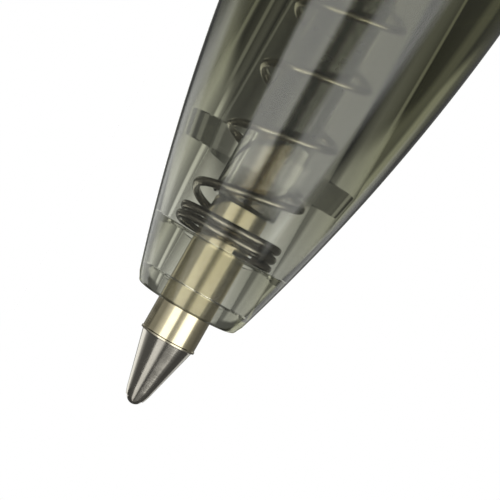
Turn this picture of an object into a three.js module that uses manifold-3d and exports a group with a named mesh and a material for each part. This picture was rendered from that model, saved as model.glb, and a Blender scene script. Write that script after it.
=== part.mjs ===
// A click ballpoint pen with a smoke-clear barrel, lying on its side with its point out.
// Millimetres, +Z up. Every piece is drawn along X, with x = 0 at the nose face of the barrel
// and the push button at the far end. The pen is then rolled until its clip lies on the table.
import * as THREE from "three";
import { mergeVertices } from "three/addons/utils/BufferGeometryUtils.js";
import Module from "manifold-3d";

// Writing point: a turned metal body with a rolling ball
const ballDiameter = 0.7;
const ballExposed = 0.25;
const ballClearance = 0.02;
const pointDiameter = 2.3;
const pointReach = 4.4;
const pointConeLength = 2.69;
const pointConeAngle = 14.4;
const pointConeStep = 0.055;
const pointRimWall = 0.03;
const pointRimRoll = 0.45;
const pointCollarHeight = 0.035;
const pointCollarWidth = 0.14;
const pointShankEnd = 4.93;
const pointSpigotLength = 3.1;
const pointBore = 1.0;
const inkChannelDiameter = 0.4;
const inkChannelLength = 0.6;

// Refill tube and what it holds
const refillLength = 107;
const tubeDiameter = 2.8;
const tubeWall = 0.55;
const inkLength = 70.5;
const followerLength = 6;
const fillClearance = 0.02;
const earSpan = 4.2;
const earThickness = 0.9;
const earLength = 2.2;
const earStation = 24;

// Return spring
const springDiameter = 4.45;
const springWire = 0.35;
const springActiveTurns = 7;
const springEndTurns = 1;
const springEndPitch = 0.8;
const springSeatGap = 0.05;
const springFirstAngle = 54;

// Front half of the barrel, with the nose in one piece
const barrelDiameter = 11.8;
const noseDiameter = 4.43;
const noseLength = 24;
const noseEdgeRound = 0.2;
const mouthClearance = 0.22;
const mouthLength = 0.97;
const throatRelief = 0.23;
const shelfStation = 2.92;
const springClearance = 0.11;
const chamberEnd = 6.23;
const chamberFlare = 0.14;
const chamberFlareLength = 1.1;
const boreEnd = 16.5;
const boreStepLength = 0.9;
const cavityDiameter = 6.7;
const cavityDraft = 0.15;
const jointStation = 66;
const spigotDiameter = 8.7;
const spigotLength = 9;
const fitClearance = 0.05;
const edgeBreak = 0.15;

// Trim ring and rear half of the barrel
const ringWidth = 2.5;
const ringInset = 0.05;
const rearBore = 8.0;
const rearTaperLength = 20;
const tailDiameter = 10.6;

// Clip, a bent strip on a ring
const clipThickness = 0.8;
const clipHeight = 8.7;
const clipBend = 1.4;
const clipRootWidth = 5.0;
const clipTipWidth = 4.0;
const clipReach = 41;
const clipArmDrop = 0.7;
const clipPadFromTip = 3.2;
const clipPadGap = 0.15;
const clipShoulderLength = 6;
const clipTipRise = 1.3;

// End collar
const collarLength = 3.8;
const collarDiameter = 10.2;
const collarRound = 1.2;
const collarPlugLength = 2.7;
const buttonClearance = 0.1;

// Click mechanism
const travel = 6;
const endPlay = 0.3;
const sleeveDiameter = 8.6;
const grooveDiameter = 7.0;
const slideClearance = 0.1;
const fins = 4;
const finAngle = 22;
const finSideClearance = 2;
const finSlope = 1.1;
const rampOverlap = 0.5;
const finLength = 3.7;
const keyLength = 5.2;
const crownTeeth = 8;
const crownDepth = 0.8;
const crownBore = 2.4;
const rotorCupDepth = 2.5;
const rotorCupWall = 0.55;
const rotorNeckLength = 1.5;
const rotorHubLength = 0.6;
const sleeveLead = 1.3;
const buttonDiameter = 5.4;
const buttonWall = 0.55;
const buttonProjection = 4.4;
const buttonRound = 0.5;
const stemEndGap = 0.3;
const plungerShoulder = 0.4;

// Facets round a revolved piece
const fineFacets = 48;
const facets = 32;

// Finishes
const smoke = new THREE.MeshStandardMaterial({
  color: "#6f7466",
  roughness: 0.08,
  metalness: 0,
  transparent: true,
  opacity: 0.45,
});
const nickelSilver = new THREE.MeshStandardMaterial({ color: "#b9a77f", roughness: 0.25, metalness: 1 });
const carbide = new THREE.MeshStandardMaterial({ color: "#8a8a88", roughness: 0.2, metalness: 1 });
const steel = new THREE.MeshStandardMaterial({ color: "#c9c9c6", roughness: 0.25, metalness: 1 });
const chrome = new THREE.MeshStandardMaterial({ color: "#d5d6d8", roughness: 0.12, metalness: 1 });
const clearPlastic = new THREE.MeshStandardMaterial({
  color: "#cfd0ca",
  roughness: 0.3,
  metalness: 0,
  transparent: true,
  opacity: 0.5,
});
const ink = new THREE.MeshStandardMaterial({ color: "#0d0d10", roughness: 0.3, metalness: 0 });
const grease = new THREE.MeshStandardMaterial({ color: "#d8d2b8", roughness: 0.4, metalness: 0 });
const blackPlastic = new THREE.MeshStandardMaterial({ color: "#2a2b2a", roughness: 0.4, metalness: 0 });

const wasm = await Module();
wasm.setup();

// A closed three.js geometry as a solid that can be joined and cut.
function solidOf(geometry) {
  const bare = geometry.clone();
  bare.deleteAttribute("normal");
  bare.deleteAttribute("uv");
  const merged = mergeVertices(bare, 1e-5);
  return new wasm.Manifold(
    new wasm.Mesh({
      numProp: 3,
      vertProperties: merged.getAttribute("position").array,
      triVerts: new Uint32Array(merged.index.array),
    }),
  );
}

// A joined or cut solid as a geometry again.
function geometryOf(solid) {
  const { vertProperties, triVerts } = solid.getMesh();
  const geometry = new THREE.BufferGeometry();
  geometry.setAttribute("position", new THREE.BufferAttribute(vertProperties, 3));
  geometry.setIndex(new THREE.BufferAttribute(triVerts, 1));
  geometry.computeVertexNormals();
  return geometry;
}

function join(first, ...rest) {
  return rest.reduce((whole, next) => whole.add(next), first);
}

function piece(name, geometry, material) {
  const mesh = new THREE.Mesh(geometry, material);
  mesh.name = name;
  return mesh;
}

// A profile of [x, radius] points, taken from the nose to the tail along the outside,
// turned about the X axis.
function revolve(profile, segments = facets) {
  const points = profile.map(([x, radius]) => new THREE.Vector2(radius, x));
  return new THREE.LatheGeometry(points, segments).rotateZ(-Math.PI / 2);
}

// The same for a tube: the inside runs back from the tail to the nose, and the loop is closed.
function revolveTube(outside, inside, segments = facets) {
  return revolve([...outside, ...inside, outside[0]], segments);
}

// Points on a circular arc from one [x, radius] point to another that is level at its far end.
function levelArc([x0, r0], [x1, r1], steps) {
  const run = x1 - x0;
  const rise = r1 - r0;
  const arcRadius = (run * run + rise * rise) / (2 * Math.abs(rise));
  const side = Math.sign(rise);
  const points = [];
  for (let i = 0; i <= steps; i++) {
    const x = x0 + (run * i) / steps;
    const drop = arcRadius - Math.sqrt(arcRadius ** 2 - (x1 - x) ** 2);
    points.push([x, r1 - side * drop]);
  }
  return points;
}

// A quarter turn that rounds an outer edge; angles in degrees, 0 along +X and 90 outwards.
function roundEdge(centreX, centreRadius, round, fromAngle, toAngle, steps) {
  const points = [];
  for (let i = 0; i <= steps; i++) {
    const angle = THREE.MathUtils.degToRad(fromAngle + ((toAngle - fromAngle) * i) / steps);
    points.push([centreX + round * Math.cos(angle), centreRadius + round * Math.sin(angle)]);
  }
  return points;
}

// A block that bends round the X axis between two angles in degrees, with end faces
// whose x follows the angle: frontAt and backAt are given the share of the way round.
function sectorBlock({ inner, outer, from, to, frontAt, backAt, steps }) {
  const positions = [];
  const index = [];
  for (let i = 0; i <= steps; i++) {
    const share = i / steps;
    const angle = THREE.MathUtils.degToRad(from + (to - from) * share);
    for (const [x, radius] of [
      [frontAt(share), inner],
      [frontAt(share), outer],
      [backAt(share), outer],
      [backAt(share), inner],
    ]) {
      positions.push(x, radius * Math.cos(angle), radius * Math.sin(angle));
    }
  }
  for (let i = 0; i < steps; i++) {
    for (let side = 0; side < 4; side++) {
      const a = 4 * i + side;
      const b = 4 * i + ((side + 1) % 4);
      index.push(a, b + 4, b, a, a + 4, b + 4);
    }
  }
  const last = 4 * steps;
  index.push(0, 1, 2, 0, 2, 3);
  index.push(last, last + 2, last + 1, last, last + 3, last + 2);
  const geometry = new THREE.BufferGeometry();
  geometry.setAttribute("position", new THREE.Float32BufferAttribute(positions, 3));
  geometry.setIndex(index);
  return geometry;
}

// Where the moving pieces stand, with the button pressed and the point out
const pointRadius = pointDiameter / 2;
const ballRadius = ballDiameter / 2;
const ballCentre = -pointReach + ballRadius;
const tubeRadius = tubeDiameter / 2;
const tubeBoreRadius = tubeRadius - tubeWall;
const tubeEnd = refillLength - pointReach;
const inkStart = pointShankEnd + pointSpigotLength;
const cupRadius = tubeRadius + fitClearance;
const grooveRadius = grooveDiameter / 2;
const finRadius = grooveRadius - slideClearance;
const buttonRadius = buttonDiameter / 2;
const landRadius = buttonRadius + slideClearance;
const coreRadius = landRadius - slideClearance;
const rotorFront = tubeEnd - rotorCupDepth;
const finStart = tubeEnd + rotorNeckLength;
const finEnd = finStart + finLength;
const rotorCrownRoot = finEnd + rotorHubLength;
const rotorCrownTip = rotorCrownRoot + crownDepth;
const landStart = finEnd + endPlay;
const plungerCrownTip = rotorCrownTip + endPlay;
const plungerCrownRoot = plungerCrownTip + crownDepth;
const sleeveStart = rotorFront - sleeveLead;
const keyStart = plungerCrownRoot + endPlay;
const keyEnd = keyStart + keyLength;
const plugStart = keyEnd + travel + endPlay;
const tailStation = plugStart + collarPlugLength;
const rearTaperStation = tailStation - rearTaperLength;
const stemStart = keyEnd + plungerShoulder;
const collarStart = tailStation + clipThickness;
const collarEnd = collarStart + collarLength;
const buttonEnd = collarEnd + buttonProjection;
const stemEnd = buttonEnd - buttonWall - stemEndGap;

// The barrel outside and the places where its pieces meet
const barrelRadius = barrelDiameter / 2;
const rearStart = jointStation + ringWidth;
const spigotRadius = spigotDiameter / 2;
const spigotEnd = jointStation + spigotLength;
const chamberRadius = springDiameter / 2 + springClearance;
const mouthRadius = pointRadius + mouthClearance;
const sleeveRadius = sleeveDiameter / 2;
const tailRadius = tailDiameter / 2;

function makePoint() {
  const seatRadius = ballRadius + ballClearance;
  const rimX = -pointReach + ballExposed;
  const rimInner = Math.sqrt(seatRadius ** 2 - (rimX - ballCentre) ** 2);
  const coneEnd = rimX + pointConeLength;
  const rollEnd = rimX + pointRimRoll;
  const coneTop = pointRadius - pointConeStep;
  const coneRun = coneEnd - pointCollarWidth / 2 - rollEnd;
  const coneTip = coneTop - coneRun * Math.tan(THREE.MathUtils.degToRad(pointConeAngle));
  const boreRadius = pointBore / 2;
  const channelRadius = inkChannelDiameter / 2;
  const spigotOutside = tubeBoreRadius - fillClearance;
  const seatEnd = ballCentre + Math.sqrt(seatRadius ** 2 - channelRadius ** 2);
  const channelEnd = seatEnd + inkChannelLength;
  const seat = [];
  const seatSteps = 10;
  const rimAngle = Math.atan2(rimInner, rimX - ballCentre);
  const channelAngle = Math.atan2(channelRadius, seatEnd - ballCentre);
  for (let i = 0; i <= seatSteps; i++) {
    const angle = channelAngle + ((rimAngle - channelAngle) * i) / seatSteps;
    seat.push([ballCentre + seatRadius * Math.cos(angle), seatRadius * Math.sin(angle)]);
  }
  const collar = pointRadius + pointCollarHeight;
  const outside = [
    [rimX, rimInner + pointRimWall],
    [rollEnd, coneTip],
    [coneEnd - pointCollarWidth / 2, coneTop],
    [coneEnd - pointCollarWidth / 4, collar],
    [coneEnd + pointCollarWidth / 4, collar],
    [coneEnd + pointCollarWidth / 2, pointRadius],
    [pointShankEnd, pointRadius],
    [pointShankEnd, spigotOutside],
    [inkStart, spigotOutside],
  ];
  const inside = [[inkStart, boreRadius], [channelEnd, boreRadius], [channelEnd, channelRadius], ...seat];
  return revolveTube(outside, inside);
}

function makeBall() {
  return new THREE.SphereGeometry(ballRadius, 16, 12).translate(ballCentre, 0, 0);
}

// The two ears pinched out of the tube are what the spring pushes on.
function makeTube() {
  const earHalf = earSpan / 2;
  const flank = earHalf - tubeRadius;
  const rod = solidOf(
    revolve([
      [pointShankEnd, 0],
      [pointShankEnd, tubeRadius],
      [tubeEnd, tubeRadius],
      [tubeEnd, 0],
    ]),
  );
  const outline = new THREE.Shape();
  outline.moveTo(earStation, -earHalf);
  outline.lineTo(earStation + earLength - flank, -earHalf);
  outline.lineTo(earStation + earLength, -tubeRadius + fitClearance);
  outline.lineTo(earStation + earLength, tubeRadius - fitClearance);
  outline.lineTo(earStation + earLength - flank, earHalf);
  outline.lineTo(earStation, earHalf);
  const ears = new THREE.ExtrudeGeometry(outline, { depth: earThickness, bevelEnabled: false });
  ears.translate(0, 0, -earThickness / 2);
  const bore = solidOf(
    revolve([
      [pointShankEnd - 1, 0],
      [pointShankEnd - 1, tubeBoreRadius],
      [tubeEnd + 1, tubeBoreRadius],
      [tubeEnd + 1, 0],
    ]),
  );
  return geometryOf(join(rod, solidOf(ears)).subtract(bore));
}

// Ink fills the bore of the point and the tube behind it.
function makeInk() {
  const fill = tubeBoreRadius - fillClearance;
  const narrow = pointBore / 2 - fillClearance;
  const front = ballCentre + ballRadius + inkChannelLength + ballClearance + fillClearance;
  return revolve([
    [front, 0],
    [front, narrow],
    [inkStart + fillClearance, narrow],
    [inkStart + fillClearance, fill],
    [inkStart + inkLength, fill],
    [inkStart + inkLength, 0],
  ]);
}

function makeFollower() {
  const fill = tubeBoreRadius - fillClearance;
  const start = inkStart + inkLength;
  return revolve([
    [start, 0],
    [start, fill],
    [start + followerLength, fill],
    [start + followerLength, 0],
  ]);
}

// One unbroken right-hand wire: close turns at both ends and open ones between.
function springCentres() {
  const stepsPerTurn = 8;
  const meanRadius = (springDiameter - springWire) / 2;
  const first = shelfStation + springSeatGap + springWire / 2;
  const last = earStation - springSeatGap - springWire / 2;
  const closed = springEndTurns * springEndPitch;
  const pitch = (last - first - 2 * closed) / springActiveTurns;
  const turns = springActiveTurns + 2 * springEndTurns;
  const centres = [];
  for (let i = 0; i <= turns * stepsPerTurn; i++) {
    const turn = i / stepsPerTurn;
    const lead = Math.min(turn, springEndTurns) * springEndPitch;
    const open = Math.min(Math.max(turn - springEndTurns, 0), springActiveTurns) * pitch;
    const tail = Math.max(turn - springEndTurns - springActiveTurns, 0) * springEndPitch;
    const angle = THREE.MathUtils.degToRad(springFirstAngle) + turn * 2 * Math.PI;
    centres.push(
      new THREE.Vector3(
        first + lead + open + tail,
        meanRadius * Math.cos(angle),
        meanRadius * Math.sin(angle),
      ),
    );
  }
  return centres;
}

function makeSpring() {
  const sides = 5;
  const centres = springCentres();
  const startRun = centres[0].clone().sub(centres[1]).setLength(springWire);
  const endRun = centres.at(-1).clone().sub(centres.at(-2)).setLength(springWire);
  centres.unshift(centres[0].clone().add(startRun.setX(0)));
  centres.push(centres.at(-1).clone().add(endRun.setX(0)));
  const positions = [];
  const index = [];
  centres.forEach((centre, i) => {
    const before = centres[Math.max(i - 1, 0)];
    const after = centres[Math.min(i + 1, centres.length - 1)];
    const along = after.clone().sub(before).normalize();
    const outward = new THREE.Vector3(0, centre.y, centre.z).normalize();
    outward.addScaledVector(along, -outward.dot(along)).normalize();
    const across = new THREE.Vector3().crossVectors(along, outward);
    for (let k = 0; k < sides; k++) {
      const angle = (k / sides) * 2 * Math.PI;
      const corner = centre
        .clone()
        .addScaledVector(outward, (springWire / 2) * Math.cos(angle))
        .addScaledVector(across, (springWire / 2) * Math.sin(angle));
      positions.push(corner.x, corner.y, corner.z);
    }
  });
  for (let i = 0; i + 1 < centres.length; i++) {
    for (let k = 0; k < sides; k++) {
      const a = i * sides + k;
      const b = i * sides + ((k + 1) % sides);
      index.push(a, b, b + sides, a, b + sides, a + sides);
    }
  }
  const end = (centres.length - 1) * sides;
  for (let k = 1; k + 1 < sides; k++) {
    index.push(0, k + 1, k);
    index.push(end, end + k, end + k + 1);
  }
  const geometry = new THREE.BufferGeometry();
  geometry.setAttribute("position", new THREE.Float32BufferAttribute(positions, 3));
  geometry.setIndex(index);
  return geometry;
}

// The least gap between turns of the wire that are at least half a turn apart.
function leastSpringGap() {
  const centres = springCentres();
  let least = Infinity;
  for (let i = 0; i < centres.length; i++) {
    for (let k = i + 4; k < centres.length; k++) {
      const step = centres[Math.min(k + 1, centres.length - 1)];
      const wire = new THREE.Line3(centres[k], step);
      const nearest = wire.closestPointToPoint(centres[i], true, new THREE.Vector3());
      least = Math.min(least, nearest.distanceTo(centres[i]) - springWire);
    }
  }
  return least;
}

function makeFrontBarrel() {
  const noseRadius = noseDiameter / 2;
  const throatRadius = mouthRadius + throatRelief;
  const boreRadius = chamberRadius + chamberFlare;
  const cavityRadius = cavityDiameter / 2;
  const outside = [
    ...roundEdge(noseEdgeRound, noseRadius - noseEdgeRound, noseEdgeRound, 180, 100, 4),
    ...levelArc([0, noseRadius], [noseLength, barrelRadius], 24).slice(1),
    [jointStation - edgeBreak, barrelRadius],
    [jointStation, barrelRadius - edgeBreak],
    [jointStation, spigotRadius],
    [spigotEnd - edgeBreak, spigotRadius],
    [spigotEnd, spigotRadius - edgeBreak],
  ];
  const inside = [
    [spigotEnd, cavityRadius + cavityDraft],
    [boreEnd + boreStepLength, cavityRadius],
    [boreEnd, boreRadius],
    [chamberEnd + chamberFlareLength, boreRadius],
    [chamberEnd, chamberRadius],
    [shelfStation, chamberRadius],
    [shelfStation, throatRadius],
    [mouthLength, throatRadius],
    [mouthLength, mouthRadius],
    [0, mouthRadius],
  ];
  return revolveTube(outside, inside, fineFacets);
}

function makeTrimRing() {
  const outer = barrelRadius - ringInset;
  const inner = spigotRadius + fitClearance;
  const outside = [
    [jointStation, inner],
    [jointStation, outer - edgeBreak],
    [jointStation + edgeBreak, outer],
    [rearStart - edgeBreak, outer],
    [rearStart, outer - edgeBreak],
    [rearStart, inner],
  ];
  return revolveTube(outside, [], fineFacets);
}

function makeRearBarrel() {
  const socketRadius = spigotRadius + fitClearance;
  const socketEnd = spigotEnd + endPlay;
  const boreRadius = rearBore / 2;
  const sleeveSeat = sleeveRadius + fitClearance;
  const taper = levelArc([tailStation, tailRadius], [rearTaperStation, barrelRadius], 10).reverse();
  const outside = [
    [rearStart, barrelRadius - edgeBreak],
    [rearStart + edgeBreak, barrelRadius],
    ...taper.slice(0, -1),
    [tailStation - edgeBreak, tailRadius + edgeBreak / 20],
    [tailStation, tailRadius - edgeBreak],
  ];
  const inside = [
    [tailStation, sleeveSeat],
    [sleeveStart, sleeveSeat],
    [sleeveStart, boreRadius],
    [socketEnd, boreRadius],
    [socketEnd, socketRadius],
    [rearStart, socketRadius],
  ];
  return revolveTube(outside, inside, fineFacets);
}

// The centre line of the bent strip in side view: up from the ring, over the bend, along the
// arm, down to the pad that grips cloth against the barrel, and up again to the lifted tip.
function clipCentreLine() {
  const ringMiddle = tailStation + clipThickness / 2;
  const top = clipHeight - clipThickness / 2;
  const tipX = tailStation - clipReach;
  const padX = tipX + clipPadFromTip;
  const padZ = barrelRadius + clipPadGap + clipThickness / 2;
  const shoulderX = padX + clipShoulderLength;
  const shoulderZ = top - clipArmDrop;
  const line = new THREE.Path();
  line.moveTo(ringMiddle, tailRadius - clipThickness);
  line.lineTo(ringMiddle, top - clipBend);
  line.absarc(ringMiddle - clipBend, top - clipBend, clipBend, 0, Math.PI / 2, false);
  line.lineTo(shoulderX, shoulderZ);
  line.bezierCurveTo(
    shoulderX - clipShoulderLength / 2,
    shoulderZ - (clipArmDrop * clipShoulderLength) / clipReach,
    padX + clipShoulderLength / 2,
    padZ,
    padX,
    padZ,
  );
  line.quadraticCurveTo(padX - clipPadFromTip / 2, padZ, tipX, padZ + clipTipRise);
  return line;
}

// The strip's outline: its centre line set off by half its thickness to both sides.
function clipSideOutline() {
  const line = clipCentreLine();
  const points = line.getPoints(8);
  const above = [];
  const below = [];
  points.forEach((point, i) => {
    const before = points[Math.max(i - 1, 0)];
    const after = points[Math.min(i + 1, points.length - 1)];
    const along = after.clone().sub(before);
    if (along.length() < 1e-6) {
      return;
    }
    along.normalize();
    const offset = new THREE.Vector2(-along.y, along.x).multiplyScalar(clipThickness / 2);
    above.push(point.clone().add(offset));
    below.push(point.clone().sub(offset));
  });
  return new THREE.Shape([...above, ...below.reverse()]);
}

// Seen from above, the strip narrows from its root to a half-round tip.
function clipPlanOutline() {
  const tipX = tailStation - clipReach;
  const tipRadius = clipTipWidth / 2;
  const rootX = tailStation + clipThickness + edgeBreak;
  const plan = new THREE.Shape();
  plan.moveTo(rootX, clipRootWidth / 2);
  plan.lineTo(tipX + tipRadius, tipRadius);
  plan.absarc(tipX + tipRadius, 0, tipRadius, Math.PI / 2, (3 * Math.PI) / 2, false);
  plan.lineTo(rootX, -clipRootWidth / 2);
  return plan;
}

function makeClip() {
  const strip = new THREE.ExtrudeGeometry(clipSideOutline(), {
    depth: clipRootWidth + 2,
    bevelEnabled: false,
  });
  strip.translate(0, 0, -clipRootWidth / 2 - 1).rotateX(Math.PI / 2);
  const plan = new THREE.ExtrudeGeometry(clipPlanOutline(), {
    depth: clipHeight + 1,
    bevelEnabled: false,
    curveSegments: 8,
  });
  const ring = revolveTube(
    [
      [tailStation, sleeveRadius + fitClearance],
      [tailStation, tailRadius],
      [collarStart, tailRadius],
      [collarStart, sleeveRadius + fitClearance],
    ],
    [],
    fineFacets,
  );
  return geometryOf(join(solidOf(strip).intersect(solidOf(plan)), solidOf(ring)));
}

function makeCollar() {
  const bore = landRadius + buttonClearance - slideClearance;
  const outer = collarDiameter / 2;
  const outside = [
    [plugStart, sleeveRadius - edgeBreak],
    [plugStart + edgeBreak, sleeveRadius],
    [collarStart, sleeveRadius],
    [collarStart, outer - edgeBreak],
    [collarStart + edgeBreak, outer],
    ...roundEdge(collarEnd - collarRound, outer - collarRound, collarRound, 90, 0, 6),
  ];
  return revolveTube(outside, [[collarEnd, bore], [plugStart, bore]], fineFacets);
}

// Four lands run down the sleeve between the grooves. The front of each land has two ramps with
// a stop between them: the rotor's fins hang on the stops while the point is out.
function makeSleeve() {
  const tube = solidOf(
    revolveTube(
      [
        [sleeveStart, sleeveRadius],
        [plugStart, sleeveRadius],
      ],
      [
        [plugStart, grooveRadius],
        [sleeveStart, grooveRadius],
      ],
    ),
  );
  const grooveAngle = finAngle + 2 * finSideClearance;
  const pitchAngle = 360 / fins;
  const lands = [];
  for (let i = 0; i < fins; i++) {
    const from = i * pitchAngle + grooveAngle / 2;
    const to = (i + 1) * pitchAngle - grooveAngle / 2;
    const middle = (from + to) / 2;
    for (const [start, end] of [
      [from, middle + rampOverlap],
      [middle, to],
    ]) {
      lands.push(
        solidOf(
          sectorBlock({
            inner: landRadius,
            outer: grooveRadius + (sleeveRadius - grooveRadius) / 2,
            from: start,
            to: end,
            frontAt: (share) => landStart + finSlope * share,
            backAt: () => plugStart,
            steps: 4,
          }),
        ),
      );
    }
  }
  return geometryOf(join(tube, ...lands));
}

// Eight pointed teeth round the end of a rod, pointing to the tail or to the nose.
function crown(rootX, direction) {
  const pitchAngle = 360 / crownTeeth;
  const embed = direction * -0.3;
  const teeth = [];
  for (let i = 0; i < crownTeeth; i++) {
    const tip = (share) => rootX + direction * crownDepth * (1 - Math.abs(2 * share - 1));
    const root = () => rootX + embed;
    teeth.push(
      solidOf(
        sectorBlock({
          inner: crownBore / 2,
          outer: coreRadius,
          from: i * pitchAngle,
          to: (i + 1) * pitchAngle,
          frontAt: direction > 0 ? root : tip,
          backAt: direction > 0 ? tip : root,
          steps: 4,
        }),
      ),
    );
  }
  return teeth;
}

// Bars along the axis that run in the sleeve's grooves.
function bars(from, backAt) {
  const made = [];
  for (let i = 0; i < fins; i++) {
    const middle = (i * 360) / fins;
    made.push(
      solidOf(
        sectorBlock({
          inner: coreRadius / 2,
          outer: finRadius,
          from: middle - finAngle / 2,
          to: middle + finAngle / 2,
          frontAt: () => from,
          backAt,
          steps: 2,
        }),
      ),
    );
  }
  return made;
}

function makeRotor() {
  const neckRadius = cupRadius + rotorCupWall;
  const hub = solidOf(
    revolve([
      [tubeEnd + fitClearance, 0],
      [tubeEnd + fitClearance, cupRadius],
      [rotorFront, cupRadius],
      [rotorFront, neckRadius],
      [finStart - fitClearance, neckRadius],
      [finStart - fitClearance, coreRadius],
      [rotorCrownRoot, coreRadius],
      [rotorCrownRoot, 0],
    ]),
  );
  const slopedFins = bars(finStart, (share) => finEnd - finSlope * (1 - share));
  return geometryOf(join(hub, ...slopedFins, ...crown(rotorCrownRoot, 1)));
}

function makePlunger() {
  const stemRadius = buttonRadius - buttonWall - fitClearance;
  const rod = solidOf(
    revolve([
      [plungerCrownRoot, 0],
      [plungerCrownRoot, coreRadius],
      [stemStart, coreRadius],
      [stemStart, stemRadius],
      [stemEnd - edgeBreak, stemRadius],
      [stemEnd, stemRadius - edgeBreak],
      [stemEnd, 0],
    ]),
  );
  return geometryOf(join(rod, ...bars(keyStart, () => keyEnd), ...crown(plungerCrownRoot, -1)));
}

function makeButton() {
  const boreRadius = buttonRadius - buttonWall;
  return revolve([
    [buttonEnd - buttonWall, 0],
    [buttonEnd - buttonWall, boreRadius],
    [stemStart + fitClearance, boreRadius],
    [stemStart + fitClearance, buttonRadius],
    ...roundEdge(buttonEnd - buttonRound, buttonRadius - buttonRound, buttonRound, 90, 0, 5),
    [buttonEnd, 0],
  ]);
}

// The roll that brings the corner of the clip down to the table beside the barrel.
function restingRoll() {
  const halfWidth = clipRootWidth / 2;
  const cornerReach = Math.hypot(halfWidth, clipHeight);
  const cornerFromDown = Math.acos(barrelRadius / cornerReach);
  const clipFromCorner = Math.atan2(halfWidth, clipHeight);
  return Math.PI - cornerFromDown - clipFromCorner;
}

const housing = new THREE.Group();
housing.add(piece("front_barrel", makeFrontBarrel(), smoke));
housing.add(piece("trim_ring", makeTrimRing(), chrome));
housing.add(piece("rear_barrel", makeRearBarrel(), smoke));
housing.add(piece("clip", makeClip(), chrome));
housing.add(piece("end_collar", makeCollar(), chrome));
housing.add(piece("cam_sleeve", makeSleeve(), blackPlastic));
housing.add(piece("return_spring", makeSpring(), steel));

const refill = new THREE.Group();
refill.add(piece("writing_point", makePoint(), nickelSilver));
refill.add(piece("ink_tube", makeTube(), clearPlastic));
refill.add(piece("ink_column", makeInk(), ink));
refill.add(piece("ink_follower", makeFollower(), grease));
refill.add(piece("point_ball", makeBall(), carbide));
refill.add(piece("rotor", makeRotor(), clearPlastic));

const pushRod = new THREE.Group();
pushRod.add(piece("plunger", makePlunger(), blackPlastic));
pushRod.add(piece("push_button", makeButton(), chrome));

const pen = new THREE.Group();
pen.add(housing, refill, pushRod);
pen.rotation.x = restingRoll();

// The origin is on the table under the middle of the pen.
const whole = new THREE.Group();
whole.add(pen);
whole.updateMatrixWorld(true);
const box = new THREE.Box3().setFromObject(pen, true);
const middle = box.getCenter(new THREE.Vector3());
pen.position.set(-middle.x, -middle.y, -box.min.z);

console.log("least gap in the spring:", leastSpringGap().toFixed(3), "mm");

export default whole;
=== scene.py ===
"""A click ballpoint pen with a smoke-clear barrel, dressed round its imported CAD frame.

Sizes are in millimetres, taken along the pen as stations: station 0 is the nose face and
the push button is at the far end. PenAxis turns a station, a radius and an angle into a
point of the row frame, in metres.
"""

import logging
import math
from collections.abc import Callable
from dataclasses import dataclass, field, replace
from enum import Enum

import bmesh
import bpy
from mathutils import Matrix, Vector

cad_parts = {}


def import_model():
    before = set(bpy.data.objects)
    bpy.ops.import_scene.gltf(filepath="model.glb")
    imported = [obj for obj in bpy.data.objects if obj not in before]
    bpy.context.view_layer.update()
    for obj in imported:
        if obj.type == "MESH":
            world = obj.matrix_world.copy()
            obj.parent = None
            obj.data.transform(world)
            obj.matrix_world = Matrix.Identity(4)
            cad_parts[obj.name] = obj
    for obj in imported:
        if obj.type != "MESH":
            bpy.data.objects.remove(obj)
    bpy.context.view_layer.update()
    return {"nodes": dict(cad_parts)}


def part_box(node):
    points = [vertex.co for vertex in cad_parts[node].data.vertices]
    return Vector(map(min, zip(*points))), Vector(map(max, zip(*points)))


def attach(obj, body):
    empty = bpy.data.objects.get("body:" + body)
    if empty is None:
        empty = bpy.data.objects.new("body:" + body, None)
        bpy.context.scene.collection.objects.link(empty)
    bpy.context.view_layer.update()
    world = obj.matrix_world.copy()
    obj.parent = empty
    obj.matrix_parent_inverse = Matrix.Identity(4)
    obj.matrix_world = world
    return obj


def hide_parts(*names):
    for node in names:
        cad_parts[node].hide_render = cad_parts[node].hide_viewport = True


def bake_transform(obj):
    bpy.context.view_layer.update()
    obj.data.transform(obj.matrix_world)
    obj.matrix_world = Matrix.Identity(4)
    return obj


LOG = logging.getLogger("pen")
MM = 0.001
FINE_FACETS = 160
TUBE_FACETS = 120
FACETS = 96
BALL_FACETS = 48
CORNER_STEPS = 4
SHARP_ANGLE = math.radians(32)
# A length or a sine below this counts as nought.
TINY = 1e-6

# Detail of the noises: soft patches, flow waves, the marks on metal and the mould's grain.
PATCH_DETAIL = 4.0
FLOW_DETAIL = 2.0
METAL_DETAIL = 3.0
GRAIN_DETAIL = 5.0
# Most of a noise's values lie between these.
NOISE_LOW = 0.3
NOISE_HIGH = 0.7
# Numbers of the Mix node's sockets, which share their names: first for colours, then numbers.
MIX_SHARE = 0
COLOUR_A = 6
COLOUR_B = 7
COLOUR_MIXED = 2
NUMBER_A = 2
NUMBER_B = 3
NUMBER_MIXED = 0

Profile = list[tuple[float, float]]


class Body(Enum):
    """The CAD bodies that the pieces ride on."""

    HOUSING = "housing"
    PUSH_ROD = "push_rod"
    REFILL = "refill"
    BALL = "ball"
    TURNING_CAM = "turning_cam"


class Lay(Enum):
    """Which way a metal's tool marks run, as the scale that stretches their pattern."""

    RINGS = (1.0, 0.02, 0.02)
    EVEN = (1.0, 1.0, 1.0)


def linear(hex_colour: str) -> tuple[float, float, float, float]:
    """Turns an sRGB hex colour into Blender's linear colour.

    Args:
        hex_colour: The colour as #rrggbb.

    Returns:
        Red, green and blue, linear, and a full alpha.
    """
    parts = [int(hex_colour[i : i + 2], 16) / 255 for i in (1, 3, 5)]
    made = [c / 12.92 if c <= 0.04045 else ((c + 0.055) / 1.055) ** 2.4 for c in parts]
    return (made[0], made[1], made[2], 1.0)


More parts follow.
